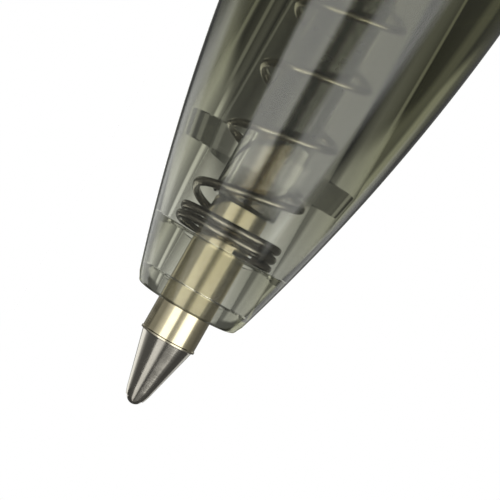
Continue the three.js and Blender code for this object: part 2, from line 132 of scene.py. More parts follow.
def add_node(
    tree: bpy.types.NodeTree,
    kind: str,
    inputs: dict[str | int, object] | None = None,
    **settings: object,
) -> bpy.types.Node:
    """Adds a node, with its settings and links.

    Args:
        tree: The node tree that it goes into.
        kind: The node's type name.
        inputs: Input name or number to a value, or to the socket that feeds it.
        settings: Properties of the node itself.

    Returns:
        The new node.
    """
    made = tree.nodes.new(kind)
    for key, value in settings.items():
        setattr(made, key, value)
    for key, value in (inputs or {}).items():
        socket = made.inputs[key]
        if isinstance(value, bpy.types.NodeSocket):
            tree.links.new(value, socket)
        else:
            socket.default_value = value
    return made


def per_size(size_mm: float) -> float:
    """The texture scale at which one feature has this size in millimetres."""
    return 1 / (size_mm * MM)


@dataclass(frozen=True)
class PenAxis:
    """Where the pen lies: its nose face, its axis, its roll and its barrel's radius.

    Attributes:
        nose_x: Row x of the nose face, in metres.
        y: Row y of the pen's axis, in metres.
        z: Row z of the pen's axis, in metres.
        roll: Turn about the axis that lays the clip on the table, in radians.
        barrel_radius: The barrel's radius, in millimetres.
    """

    nose_x: float
    y: float
    z: float
    roll: float
    barrel_radius: float

    @classmethod
    def from_frame(cls, clip_height: float, clip_root_width: float) -> "PenAxis":
        """Reads the axis from the CAD barrel.

        Args:
            clip_height: Height of the clip over the axis.
            clip_root_width: Width of the clip at its root.

        Returns:
            The axis in the row frame.
        """
        low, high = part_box("front_barrel")
        middle = (low + high) / 2
        radius = (high.z - low.z) / 2 / MM
        half_width = clip_root_width / 2
        corner_reach = math.hypot(half_width, clip_height)
        corner_from_down = math.acos(radius / corner_reach)
        clip_from_corner = math.atan2(half_width, clip_height)
        roll = math.pi - corner_from_down - clip_from_corner
        return cls(low.x, middle.y, middle.z, roll, radius)

    def point(self, station: float, radius: float, angle: float) -> Vector:
        """A point of the row frame.

        Args:
            station: Distance along the pen from the nose face.
            radius: Distance from the axis.
            angle: Turn about the axis, with the clip at a quarter turn.

        Returns:
            The point, in metres.
        """
        turn = angle + self.roll
        return Vector(
            (
                self.nose_x + station * MM,
                self.y + radius * math.cos(turn) * MM,
                self.z + radius * math.sin(turn) * MM,
            )
        )


@dataclass(frozen=True)
class Surface:
    """A material in the making.

    Attributes:
        tree: Its node tree.
        shader: Its shader.
        place: Object coordinates.
        out: Its output.
    """

    tree: bpy.types.NodeTree
    shader: bpy.types.Node
    place: bpy.types.NodeSocket
    out: bpy.types.Node

    def feed(self, socket: str, value: bpy.types.NodeSocket) -> None:
        """Feeds one of the shader's sockets."""
        self.tree.links.new(value, self.shader.inputs[socket])

    def bump(
        self, height: bpy.types.NodeSocket, depth_mm: float, strength: float = 1.0
    ) -> None:
        """Raises the surface by a height pattern.

        Args:
            height: The pattern.
            depth_mm: Depth of the relief, in millimetres.
            strength: Share of the relief that is used.
        """
        bump = add_node(
            self.tree,
            "ShaderNodeBump",
            {"Height": height, "Distance": depth_mm * MM, "Strength": strength},
        )
        self.feed("Normal", bump.outputs["Normal"])


@dataclass(frozen=True)
class Finish:
    """A surface as its maker left it.

    Attributes:
        name: The material's name.
        colour: Its sRGB colour.
        roughness: Its mean roughness.
        spread: How far the roughness wanders over the surface.
        patch: Size of the patches in which it wanders, in millimetres.
    """

    name: str
    colour: str
    roughness: float
    spread: float = 0.03
    patch: float = 1.5

    def material(self) -> bpy.types.Material:
        """Makes the material, or finds it if it is already made.

        Returns:
            The material.
        """
        known = bpy.data.materials.get(self.name)
        if known:
            return known
        made = bpy.data.materials.new(self.name)
        made.use_nodes = True
        tree = made.node_tree
        tree.nodes.clear()
        place = add_node(tree, "ShaderNodeTexCoord").outputs["Object"]
        shader = add_node(tree, "ShaderNodeBsdfPrincipled", {"Base Color": linear(self.colour)})
        out = add_node(tree, "ShaderNodeOutputMaterial", {"Surface": shader.outputs["BSDF"]})
        surface = Surface(tree, shader, place, out)
        self.wear(surface)
        self.dress(surface)
        return made

    def wear(self, surface: Surface) -> None:
        """Lets the roughness wander in soft patches, as handling leaves it.

        Args:
            surface: The material in the making.
        """
        patches = add_node(
            surface.tree,
            "ShaderNodeTexNoise",
            {"Vector": surface.place, "Scale": per_size(self.patch), "Detail": PATCH_DETAIL},
        )
        rough = add_node(
            surface.tree,
            "ShaderNodeMapRange",
            {
                "Value": patches.outputs["Fac"],
                "From Min": NOISE_LOW,
                "From Max": NOISE_HIGH,
                "To Min": max(self.roughness - self.spread, 0.0),
                "To Max": self.roughness + self.spread,
            },
        )
        surface.feed("Roughness", rough.outputs["Result"])

    def dress(self, surface: Surface) -> None:
        """Adds what only this finish has; plain finishes add nothing.

        Args:
            surface: The material in the making.
        """


@dataclass(frozen=True)
class ClearPlastic(Finish):
    """Clear moulded plastic, with its tint in its depth and faint flow waves on its skin.

    Attributes:
        tint: Colour that light takes on in its depth.
        depth: Density of the tint, per metre.
        refraction: Its index.
        flow: Depth of the flow waves, in millimetres.
        flow_length: Length of the flow waves round the pen, in millimetres.
        flow_stretch: Scale of their pattern along the pen, where they run longer.
    """

    tint: str = "#8c8f7c"
    depth: float = 300.0
    refraction: float = 1.5
    flow: float = 0.0003
    flow_length: float = 2.4
    flow_stretch: float = 0.35

    def dress(self, surface: Surface) -> None:
        """Makes it clear, tints its depth and lays the flow waves on its skin.

        Args:
            surface: The material in the making.
        """
        surface.shader.inputs["Transmission Weight"].default_value = 1.0
        surface.shader.inputs["IOR"].default_value = self.refraction
        stretch = add_node(
            surface.tree,
            "ShaderNodeMapping",
            {"Vector": surface.place, "Scale": (self.flow_stretch, 1.0, 1.0)},
        )
        waves = add_node(
            surface.tree,
            "ShaderNodeTexNoise",
            {
                "Vector": stretch.outputs["Vector"],
                "Scale": per_size(self.flow_length),
                "Detail": FLOW_DETAIL,
            },
        )
        surface.bump(waves.outputs["Fac"], self.flow)
        absorb = add_node(
            surface.tree,
            "ShaderNodeVolumeAbsorption",
            {"Color": linear(self.tint), "Density": self.depth},
        )
        surface.tree.links.new(absorb.outputs["Volume"], surface.out.inputs["Volume"])


@dataclass(frozen=True)
class Metal(Finish):
    """Metal with the marks of the tool that made it.

    Attributes:
        lay: Which way the marks run.
        mark: Distance between marks, in millimetres.
        mark_depth: Their depth, in millimetres.
        second_colour: Colour that it drifts to in soft patches.
        drift_share: Size of those patches as a share of the roughness patches.
    """

    lay: Lay = Lay.EVEN
    mark: float = 0.05
    mark_depth: float = 0.001
    second_colour: str = ""
    drift_share: float = 0.6

    def dress(self, surface: Surface) -> None:
        """Makes it metal, drifts its colour and cuts the tool marks.

        Args:
            surface: The material in the making.
        """
        surface.shader.inputs["Metallic"].default_value = 1.0
        drift = add_node(
            surface.tree,
            "ShaderNodeTexNoise",
            {
                "Vector": surface.place,
                "Scale": per_size(self.patch * self.drift_share),
                "Detail": METAL_DETAIL,
            },
        )
        mix = add_node(
            surface.tree,
            "ShaderNodeMix",
            {
                MIX_SHARE: drift.outputs["Fac"],
                COLOUR_A: linear(self.colour),
                COLOUR_B: linear(self.second_colour or self.colour),
            },
            data_type="RGBA",
        )
        surface.feed("Base Color", mix.outputs[COLOUR_MIXED])
        along = add_node(
            surface.tree, "ShaderNodeMapping", {"Vector": surface.place, "Scale": self.lay.value}
        )
        marks = add_node(
            surface.tree,
            "ShaderNodeTexNoise",
            {
                "Vector": along.outputs["Vector"],
                "Scale": per_size(self.mark),
                "Detail": METAL_DETAIL,
            },
        )
        surface.bump(marks.outputs["Fac"], self.mark_depth)


@dataclass(frozen=True)
class TurnedPoint(Metal):
    """Nickel silver turned on a lathe: greyer on the cone, darkened there as painted shade, and
    warmer on the drawn cylinder.

    Attributes:
        cone_grey_and_shade: Colour of the cone's cut surface, greyer than the cylinder and darkened
            as painted shade for the dimmer light that the cone reflects.
        change_x: Row x at which the cone meets the cylinder, in metres.
        wet_colour: Colour of the spigot under its film of ink.
        wet_x: Row x at which that film begins, in metres.
        blur: Half the length over which a colour changes, in millimetres.
    """

    # The cone's own greyer colour, darkened as painted shade for the dimmer light that it reflects.
    cone_grey_and_shade: str = "#b4afa8"
    change_x: float = 0.0
    wet_colour: str = "#7d705c"
    wet_x: float = 1.0
    blur: float = 0.05

    def dress(self, surface: Surface) -> None:
        """Adds the changes of colour at the cone's end, where painted shade darkens the cone, and
        where the ink wets the spigot.

        Args:
            surface: The material in the making.
        """
        super().dress(surface)
        colour = surface.shader.inputs["Base Color"].links[0].from_socket
        x = add_node(surface.tree, "ShaderNodeSeparateXYZ", {"Vector": surface.place}).outputs["X"]
        # Ahead of the cone's end the colour is the cone's grey with its painted shade.
        for change, ahead, behind in (
            (self.change_x, linear(self.cone_grey_and_shade), None),
            (self.wet_x, None, linear(self.wet_colour)),
        ):
            share = add_node(
                surface.tree,
                "ShaderNodeMapRange",
                {
                    "Value": x,
                    "From Min": change - self.blur * MM,
                    "From Max": change + self.blur * MM,
                },
            )
            colour = add_node(
                surface.tree,
                "ShaderNodeMix",
                {
                    MIX_SHARE: share.outputs["Result"],
                    COLOUR_A: ahead or colour,
                    COLOUR_B: behind or colour,
                },
                data_type="RGBA",
            ).outputs[COLOUR_MIXED]
        surface.feed("Base Color", colour)


@dataclass(frozen=True)
class MouldedPlastic(Finish):
    """Opaque moulded plastic with the fine grain of its mould.

    Attributes:
        grain: Size of the grain, in millimetres.
        grain_depth: Its depth, in millimetres.
        grain_share: Share of that depth that is used.
        tone_spread: How far the grain lightens and darkens the colour.
        glow: Share of light that passes under its skin.
        glow_depth: How deep that light goes, in millimetres.
        glow_colour: How deep its red, green and blue go, as shares.
    """

    grain: float = 0.12
    grain_depth: float = 0.006
    grain_share: float = 0.5
    tone_spread: float = 0.15
    glow: float = 0.0
    glow_depth: float = 0.5
    glow_colour: tuple[float, float, float] = (1.0, 1.0, 0.9)

    def dress(self, surface: Surface) -> None:
        """Adds the mould's grain and the light under the skin.

        Args:
            surface: The material in the making.
        """
        grain = add_node(
            surface.tree,
            "ShaderNodeTexNoise",
            {"Vector": surface.place, "Scale": per_size(self.grain), "Detail": GRAIN_DETAIL},
        )
        tone = add_node(
            surface.tree,
            "ShaderNodeMapRange",
            {
                "Value": grain.outputs["Fac"],
                "To Min": 1 - self.tone_spread,
                "To Max": 1 + self.tone_spread,
            },
        )
        toned = add_node(
            surface.tree,
            "ShaderNodeHueSaturation",
            {"Color": linear(self.colour), "Value": tone.outputs["Result"]},
        )
        surface.feed("Base Color", toned.outputs["Color"])
        surface.bump(grain.outputs["Fac"], self.grain_depth, self.grain_share)
        surface.shader.inputs["Subsurface Weight"].default_value = self.glow
        surface.shader.inputs["Subsurface Scale"].default_value = self.glow_depth * MM
        surface.shader.inputs["Subsurface Radius"].default_value = self.glow_colour


# Acrylic with a smoke tint, polished mould: glassy, darker where it is thick.
SMOKE_PLASTIC = ClearPlastic(
    "smoke_acrylic_moulded", "#ffffff", 0.012, 0.01, tint="#b0b085", depth=295.0
)
# Natural polypropylene, drawn tube: clear with a slight milkiness.
TUBE_PLASTIC = ClearPlastic(
    "clear_polypropylene_tube",
    "#f4f4ee",
    0.06,
    0.03,
    tint="#c9c7b8",
    depth=60.0,
    refraction=1.49,
    flow=0.0008,
    flow_length=0.9,
)
# Clear grease: pale and wet, stops the ink from drying.
FOLLOWER_GREASE = ClearPlastic(
    "clear_grease", "#f2ecd2", 0.12, 0.05, tint="#d8cfa4", depth=250.0, refraction=1.47
)
# Paste ink: black and wet, with a soft gloss.
PASTE_INK = MouldedPlastic(
    "black_paste_ink", "#0b0b0e", 0.22, 0.08, patch=0.6, grain=0.4, grain_depth=0.01
)
# Nickel silver, turned: warm silver with fine rings from the tool, on a greyer cone that is
# darkened as painted shade.
NICKEL_SILVER = TurnedPoint(
    "nickel_silver_turned",
    "#d9cfb4",
    0.15,
    0.04,
    patch=0.5,
    lay=Lay.RINGS,
    mark=0.06,
    mark_depth=0.0012,
    second_colour="#cfc4a6",
)
# Tungsten carbide, lapped: dark mirror.
CARBIDE = Metal(
    "tungsten_carbide_lapped", "#a59f99", 0.14, 0.05, patch=0.3, mark=0.03, mark_depth=0.0006
)
# Stainless spring wire, drawn: bright, with lines along the wire.
SPRING_WIRE = Metal(
    "spring_wire_drawn", "#8a857d", 0.2, 0.06, patch=0.5, mark=0.04, mark_depth=0.001
)
# Nickel-chrome plate on polished metal: near mirror with faint wear.
BRIGHT_PLATE = Metal(
    "bright_chrome_plate",
    "#dddee0",
    0.07,
    0.04,
    patch=2.5,
    mark=0.25,
    mark_depth=0.0004,
    second_colour="#d3d3d4",
)
# Black acetal, moulded: satin.
BLACK_ACETAL = MouldedPlastic("black_acetal_moulded", "#26272a", 0.38, 0.08)
# Natural acetal, moulded: milky white.
WHITE_ACETAL = MouldedPlastic("natural_acetal_moulded", "#dcdbd2", 0.36, 0.06, glow=0.15)
# Pale studio table: matt laminate.
PALE_TABLE = MouldedPlastic(
    "pale_matt_table", "#f4f4f4", 0.6, 0.05, patch=40.0, grain=1.2, grain_depth=0.02
)


def link_mesh(name: str, mesh: bmesh.types.BMesh, finish: Finish) -> bpy.types.Object:
    """Makes an object of a finished mesh, smooth between its sharp edges.

    Args:
        name: The piece's name.
        mesh: The mesh, in row frame metres.
        finish: Its finish.

    Returns:
        The object, at the origin.
    """
    for face in mesh.faces:
        face.smooth = True
    for edge in mesh.edges:
        edge.smooth = len(edge.link_faces) == 2 and edge.calc_face_angle(0.0) < SHARP_ANGLE
    data = bpy.data.meshes.new(name)
    mesh.to_mesh(data)
    mesh.free()
    made = bpy.data.objects.new(name, data)
    bpy.context.scene.collection.objects.link(made)
    data.materials.append(finish.material())
    return made


def turned_mesh(
    axis: PenAxis,
    profile: Profile,
    segments: int = FACETS,
    shape: Callable[[float, float, float], float] | None = None,
) -> bmesh.types.BMesh:
    """Turns a profile about the pen's axis into a closed mesh.

    Args:
        axis: The pen's axis.
        profile: Stations and radii. It closes on itself, or starts and ends on the axis.
        segments: Facets round the axis.
        shape: Gives a point's radius from its station, radius and angle.

    Returns:
        The closed mesh, faces outwards.
    """
    mesh = bmesh.new()
    rings = []
    for station, radius in profile:
        if radius < TINY:
            rings.append([mesh.verts.new(axis.point(station, 0, 0))] * segments)
            continue
        ring = []
        for i in range(segments):
            angle = 2 * math.pi * i / segments
            shaped = shape(station, radius, angle) if shape else radius
            ring.append(mesh.verts.new(axis.point(station, shaped, angle)))
        rings.append(ring)
    solid_core = profile[0][1] < TINY
    count = len(rings) - 1 if solid_core else len(rings)
    for k in range(count):
        first, second = rings[k], rings[(k + 1) % len(rings)]
        for i in range(segments):
            j = (i + 1) % segments
            corners = dict.fromkeys((first[i], first[j], second[j], second[i]))
            if len(corners) > 2:
                mesh.faces.new(list(corners))
    bmesh.ops.recalc_face_normals(mesh, faces=mesh.faces)
    return mesh


def level_arc(start: tuple[float, float], end: tuple[float, float], steps: int) -> Profile:
    """Points on an arc that is level at its far end.

    Args:
        start: First station and radius.
        end: Last station and radius, where the arc is level.
        steps: Number of steps.

    Returns:
        The points, both ends included.
    """
    run = end[0] - start[0]
    rise = end[1] - start[1]
    arc_radius = (run * run + rise * rise) / (2 * abs(rise))
    side = math.copysign(1.0, rise)
    points = []
    for i in range(steps + 1):
        station = start[0] + run * i / steps
        drop = arc_radius - math.sqrt(arc_radius**2 - (end[0] - station) ** 2)
        points.append((station, end[1] - side * drop))
    return points


def arc(
    centre: tuple[float, float], radius: float, first: float, last: float, steps: int
) -> Profile:
    """Points on a round arc.

    Args:
        centre: Station and height of its centre.
        radius: Its radius.
        first: Angle of its first point, in radians from the tail's direction.
        last: Angle of its last point.
        steps: Number of steps.

    Returns:
        The points, both ends included.
    """
    turns = [first + (last - first) * i / steps for i in range(steps + 1)]
    return [(centre[0] + radius * math.cos(t), centre[1] + radius * math.sin(t)) for t in turns]


def bent(knots: Profile, steps: int) -> Profile:
    """Points on the Bezier curve of some knots: straight with two, bent with three or four.

    Args:
        knots: The knots.
        steps: Number of steps.

    Returns:
        The points, both ends included.
    """
    made: Profile = []
    for i in range(steps + 1):
        t = i / steps
        row = knots
        while len(row) > 1:
            row = [
                (a[0] * (1 - t) + b[0] * t, a[1] * (1 - t) + b[1] * t)
                for a, b in zip(row, row[1:])
            ]
        made += row
    return made


def rounded(
    profile: Profile, rounds: dict[int, float], steps: int = 5, flat: float = 0.04
) -> Profile:
    """Rounds chosen corners of a profile.

    Args:
        profile: The closed or open profile.
        rounds: Corner number to the length that is cut back on both sides.
        steps: Steps on each round.
        flat: Length beside each round that keeps the shading of the long straight parts true.

    Returns:
        The profile with its corners rounded.
    """
    made: Profile = []
    for i, corner in enumerate(profile):
        if i not in rounds:
            made.append(corner)
            continue
        here = Vector(corner)
        ends: list[Profile] = []
        supports: list[Profile] = []
        for neighbour in (profile[i - 1], profile[(i + 1) % len(profile)]):
            side = Vector(neighbour) - here
            away = side.normalized()
            end = here + away * min(rounds[i], side.length / 2)
            beside = end + away * flat
            ends.append([(end.x, end.y)])
            supports.append([(beside.x, beside.y)] if rounds[i] + flat < side.length / 2 else [])
        curve = bent([*ends[0], corner, *ends[1]], steps)
        made += supports[0] + curve + supports[1]
    return made


@dataclass
class Piece:
    """One finished piece: what it rides on and stands for.

    Attributes:
        made: The piece's object.
        body: The CAD body that it rides on.
        node: The CAD node that it replaces.
        slot: The record's material slot that it stands for; not used.
    """

    made: bpy.types.Object
    body: Body
    node: str
    slot: str

    def settle(self) -> None:
        """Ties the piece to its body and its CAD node."""
        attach(self.made, self.body.value)
        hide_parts(self.node)
        LOG.info("%s rides on %s for %s", self.made.name, self.body.value, self.node)


# How far each corner of the front half's bore is rounded, in millimetres. Corner 0, at the far
# end, stays sharp, and corner 9 is the mouth's edge at the nose face.
BORE_ROUNDS = {1: 0.08, 2: 0.06, 3: 0.03, 4: 0.03, 5: 0.05, 6: 0.03, 7: 0.04, 8: 0.03, 9: 0.03}


@dataclass
class Barrel:
    """The two halves of the barrel, the ring between them and the bore that shows inside.

    Attributes:
        axis: The pen's axis.
        nose_diameter: Diameter of the nose face's edge.
        nose_length: Length over which the nose grows to the full diameter.
        nose_round: Radius of the nose's edge.
        mouth_diameter: Bore of the mouth round the point.
        mouth_length: Length of the mouth.
        throat_diameter: Bore behind the mouth.
        shelf_station: Where the spring sits.
        chamber_diameter: Bore round the spring.
        chamber_end: Where the bore begins to flare.
        flare: How much the bore's radius grows in the flare.
        flare_length: Length of the flare.
        bore_end: Where the bore opens into the cavity.
        bore_step: Length of that step.
        cavity_diameter: Bore behind the step.
        cavity_draft: How much the cavity's radius grows to its end.
        joint_station: Where the front half meets the ring.
        spigot_diameter: Diameter of the spigot inside the rear half.
        spigot_length: Its length.
        ring_width: Width of the trim ring.
        ring_inset: How far the ring stands back from the barrel.
        rear_bore: Bore of the rear half.
        sleeve_seat: Bore round the cam sleeve.
        sleeve_station: Where that bore begins.
        taper_station: Where the rear half begins to narrow.
        tail_station: Where it ends.
        tail_diameter: Its diameter there.
        fit: Clearance of the screwed joint.
        socket_room: How much deeper the socket is than the spigot is long.
        edge: Width of the broken edges.
        nose_round_end: Where the nose's round ends, in degrees from the tail's direction.
        ring_round: How far the ring's outer edges are rounded.
        ring_break: How far its inner edges are rounded.
        rear_round: How far the two steps in the rear half's bore are rounded.
    """

    axis: PenAxis
    nose_diameter: float = 4.43
    nose_length: float = 24.0
    nose_round: float = 0.2
    mouth_diameter: float = 2.74
    mouth_length: float = 0.97
    throat_diameter: float = 3.2
    shelf_station: float = 2.92
    chamber_diameter: float = 4.67
    chamber_end: float = 6.23
    flare: float = 0.14
    flare_length: float = 1.1
    bore_end: float = 16.5
    bore_step: float = 0.9
    cavity_diameter: float = 6.7
    cavity_draft: float = 0.15
    joint_station: float = 66.0
    spigot_diameter: float = 8.7
    spigot_length: float = 9.0
    ring_width: float = 2.5
    ring_inset: float = 0.05
    rear_bore: float = 8.0
    sleeve_seat: float = 8.7
    sleeve_station: float = 98.8
    taper_station: float = 104.8
    tail_station: float = 124.8
    tail_diameter: float = 10.6
    fit: float = 0.05
    socket_room: float = 0.3
    edge: float = 0.15
    nose_round_end: float = 100.0
    ring_round: float = 0.3
    ring_break: float = 0.05
    rear_round: float = 0.06

    def front(self) -> None:
        """Turns the front half, nose and bore in one piece."""
        radius = self.axis.barrel_radius
        nose = self.nose_diameter / 2
        centre = (self.nose_round, nose - self.nose_round)
        round_end = math.radians(self.nose_round_end)
        outside = arc(centre, self.nose_round, math.pi, round_end, steps=8)
        outside += level_arc((0.0, nose), (self.nose_length, radius), steps=60)[1:]
        spigot = self.spigot_diameter / 2
        spigot_end = self.joint_station + self.spigot_length
        shoulder = [
            (self.joint_station - self.edge, radius),
            (self.joint_station, radius - self.edge),
            (self.joint_station, spigot),
            (spigot_end - self.edge, spigot),
            (spigot_end, spigot - self.edge),
        ]
        chamber = self.chamber_diameter / 2
        cavity = self.cavity_diameter / 2
        bore = chamber + self.flare
        inside = [
            (spigot_end, cavity + self.cavity_draft),
            (self.bore_end + self.bore_step, cavity),
            (self.bore_end, bore),
            (self.chamber_end + self.flare_length, bore),
            (self.chamber_end, chamber),
            (self.shelf_station, chamber),
            (self.shelf_station, self.throat_diameter / 2),
            (self.mouth_length, self.throat_diameter / 2),
            (self.mouth_length, self.mouth_diameter / 2),
            (0.0, self.mouth_diameter / 2),
        ]
        profile = outside + shoulder + rounded(inside, BORE_ROUNDS)
        mesh = turned_mesh(self.axis, profile, FINE_FACETS)
        made = link_mesh("front_barrel_moulded", mesh, SMOKE_PLASTIC)
        Piece(made, Body.HOUSING, "front_barrel", "smoke_plastic").settle()

    def ring(self) -> None:
        """Turns the bright ring between the halves."""
        outer = self.axis.barrel_radius - self.ring_inset
        inner = self.spigot_diameter / 2 + self.fit
        start = self.joint_station
        end = start + self.ring_width
        profile = [(start, inner), (start, outer), (end, outer), (end, inner)]
        rounds = {0: self.ring_break, 1: self.ring_round, 2: self.ring_round, 3: self.ring_break}
        mesh = turned_mesh(self.axis, rounded(profile, rounds), FINE_FACETS)
        made = link_mesh("trim_ring_plated", mesh, BRIGHT_PLATE)
        Piece(made, Body.HOUSING, "trim_ring", "bright_trim").settle()

    def rear(self) -> None:
        """Turns the rear half, with its socket, bore and taper."""
        radius = self.axis.barrel_radius
        start = self.joint_station + self.ring_width
        socket_end = self.joint_station + self.spigot_length + self.socket_room
        tail = self.tail_diameter / 2
        taper = level_arc((self.tail_station, tail), (self.taper_station, radius), steps=24)
        outside = [
            (start, radius - self.edge),
            (start + self.edge, radius),
            *reversed(taper[1:]),
            (self.tail_station - self.edge, tail),
            (self.tail_station, tail - self.edge),
        ]
        inside = [
            (self.tail_station, self.sleeve_seat / 2),
            (self.sleeve_station, self.sleeve_seat / 2),
            (self.sleeve_station, self.rear_bore / 2),
            (socket_end, self.rear_bore / 2),
            (socket_end, self.spigot_diameter / 2 + self.fit),
            (start, self.spigot_diameter / 2 + self.fit),
        ]
        bored = rounded(inside, {1: self.rear_round, 4: self.rear_round})
        mesh = turned_mesh(self.axis, outside + bored, FINE_FACETS)
        made = link_mesh("rear_barrel_moulded", mesh, SMOKE_PLASTIC)
        Piece(made, Body.HOUSING, "rear_barrel", "smoke_plastic").settle()


@dataclass
class Clip:
    """The bent strip on its ring, with the collar that clamps it.

    Attributes:
        axis: The pen's axis.
        tail_station: Where the ring lies.
        tail_diameter: Diameter of the ring.
        ring_bore: Bore of the ring.
        thickness: Thickness of the strip.
        height: Height of the strip's back over the axis.
        bend: Radius of the strip's bend, at its middle.
        root_width: Width at the root.
        tip_width: Width at the tip.
        reach: Length from the ring to the tip.
        arm_drop: How far the arm slopes down to its shoulder.
        pad_from_tip: Distance of the gripping pad from the tip.
        pad_gap: Gap between the pad and the barrel.
        shoulder: Length of the slope down to the pad.
        tip_rise: How far the tip lifts.
        corner: Radius of the strip's edges.
        collar_length: Length of the end collar.
        collar_diameter: Its diameter.
        collar_round: Radius of its end.
        plug_length: Length of its plug inside the barrel.
        plug_diameter: Diameter of the plug.
        collar_bore: Bore round the button's stem.
        barrel_radius: Radius of the barrel under the pad.
        tip_blunt: Half the width at the very tip, as a share of the tip's radius.
        corner_most: The largest edge radius, as a share of half the width.
        ring_edge: How far the edges of the ring and of the collar's bore are rounded.
        collar_edge: How far the collar's other edges are rounded.
    """

    axis: PenAxis
    tail_station: float = Barrel.tail_station
    tail_diameter: float = Barrel.tail_diameter
    ring_bore: float = 8.7
    thickness: float = 0.8
    height: float = 8.7
    bend: float = 1.4
    root_width: float = 5.0
    tip_width: float = 4.0
    reach: float = 41.0
    arm_drop: float = 0.7
    pad_from_tip: float = 3.2
    pad_gap: float = 0.15
    shoulder: float = 6.0
    tip_rise: float = 1.3
    corner: float = 0.22
    collar_length: float = 3.8
    collar_diameter: float = 10.2
    collar_round: float = 1.2
    plug_length: float = 2.7
    plug_diameter: float = 8.6
    collar_bore: float = 5.6
    barrel_radius: float = 5.9
    tip_blunt: float = 0.12
    corner_most: float = 0.9
    ring_edge: float = 0.12
    collar_edge: float = 0.15

    def centre_line(self) -> Profile:
        """The strip's centre line in side view, as stations and heights over the axis.

        Returns:
            Points from the ring, over the bend and along the arm to the tip.
        """
        ring_middle = self.tail_station + self.thickness / 2
        top = self.height - self.thickness / 2
        tip = self.tail_station - self.reach
        pad = tip + self.pad_from_tip
        pad_height = self.barrel_radius + self.pad_gap + self.thickness / 2
        shoulder = pad + self.shoulder
        shoulder_height = top - self.arm_drop
        half = self.shoulder / 2
        slope = self.arm_drop * self.shoulder / self.reach
        line = [(ring_middle, self.tail_diameter / 2 - self.thickness)]
        bend_centre = (ring_middle - self.bend, top - self.bend)
        line += arc(bend_centre, self.bend, 0.0, math.pi / 2, steps=12)
        arm = [line[-1], (shoulder, shoulder_height)]
        slide = [
            (shoulder, shoulder_height),
            (shoulder - half, shoulder_height - slope),
            (pad + half, pad_height),
            (pad, pad_height),
        ]
        lift = [
            (pad, pad_height),
            (pad - self.pad_from_tip / 2, pad_height),
            (tip, pad_height + self.tip_rise),
        ]
        for knots, steps in ((arm, 12), (slide, 16), (lift, 14)):
            line += bent(knots, steps)[1:]
        return line

    def half_width(self, station: float) -> float:
        """Half the strip's width, with its half-round tip.

        Args:
            station: Distance along the pen.

        Returns:
            Half the width there.
        """
        tip_radius = self.tip_width / 2
        round_end = self.tail_station - self.reach + tip_radius
        if station < round_end:
            inset = round_end - station
            blunt = self.tip_blunt * tip_radius
            return math.sqrt(max(tip_radius**2 - inset**2, blunt**2))
        share = (station - round_end) / (self.tail_station - round_end)
        return tip_radius + (self.root_width / 2 - tip_radius) * min(share, 1.0)

    def strip(self) -> bmesh.types.BMesh:
        """Sweeps the strip's rounded section along its centre line.

        Returns:
            The closed mesh, faces outwards.
        """
        line = self.centre_line()
        mesh = bmesh.new()
        rings = []
        half = self.thickness / 2
        for i, (station, height) in enumerate(line):
            before = Vector(line[max(i - 1, 0)])
            after = Vector(line[min(i + 1, len(line) - 1)])
            along = (after - before).normalized()
            outward = Vector((along.y, -along.x))
            width = self.half_width(station)
            corner = min(self.corner, width * self.corner_most)
            ring = []
            for side, level, start in ((1, 1, 0), (-1, 1, 90), (-1, -1, 180), (1, -1, 270)):
                for k in range(CORNER_STEPS + 1):
                    turn = math.radians(start + 90 * k / CORNER_STEPS)
                    across = side * (width - corner) + corner * math.cos(turn)
                    lift = level * (half - self.corner) + self.corner * math.sin(turn)
                    place = Vector((station, height)) + outward * lift
                    angle = math.atan2(place.y, across)
                    radius = math.hypot(place.y, across)
                    ring.append(mesh.verts.new(self.axis.point(place.x, radius, angle)))
            rings.append(ring)
        count = len(rings[0])
        for first, second in zip(rings, rings[1:]):
            for i in range(count):
                j = (i + 1) % count
                mesh.faces.new([first[i], first[j], second[j], second[i]])
        mesh.faces.new(rings[0])
        mesh.faces.new(rings[-1])
        bmesh.ops.recalc_face_normals(mesh, faces=mesh.faces)
        return mesh

    def clip(self) -> None:
        """Joins the strip to its ring."""
        mesh = self.strip()
        start = self.tail_station
        end = start + self.thickness
        outer = self.tail_diameter / 2
        inner = self.ring_bore / 2
        profile = [(start, inner), (start, outer), (end, outer), (end, inner)]
        softened = rounded(profile, {1: self.ring_edge, 2: self.ring_edge})
        ring = turned_mesh(self.axis, softened, FINE_FACETS)
        carrier = bpy.data.meshes.new("clip_ring")
        ring.to_mesh(carrier)
        ring.free()
        mesh.from_mesh(carrier)
        bpy.data.meshes.remove(carrier)
        made = link_mesh("clip_plated", mesh, BRIGHT_PLATE)
        Piece(made, Body.HOUSING, "clip", "bright_trim").settle()

    def collar(self) -> None:
        """Turns the end collar with its plug and rounded end."""
        start = self.tail_station + self.thickness
        end = start + self.collar_length
        outer = self.collar_diameter / 2
        bore = self.collar_bore / 2
        plug = self.plug_diameter / 2
        profile = [
            (self.tail_station - self.plug_length, plug),
            (start, plug),
            (start, outer),
            (end, outer),
            (end, bore),
            (self.tail_station - self.plug_length, bore),
        ]
        edge = self.collar_edge
        rounds = {0: edge, 2: edge, 3: self.collar_round, 4: self.ring_edge}
        mesh = turned_mesh(self.axis, rounded(profile, rounds, steps=10), FINE_FACETS)
        made = link_mesh("end_collar_plated", mesh, BRIGHT_PLATE)
        Piece(made, Body.HOUSING, "end_collar", "bright_trim").settle()


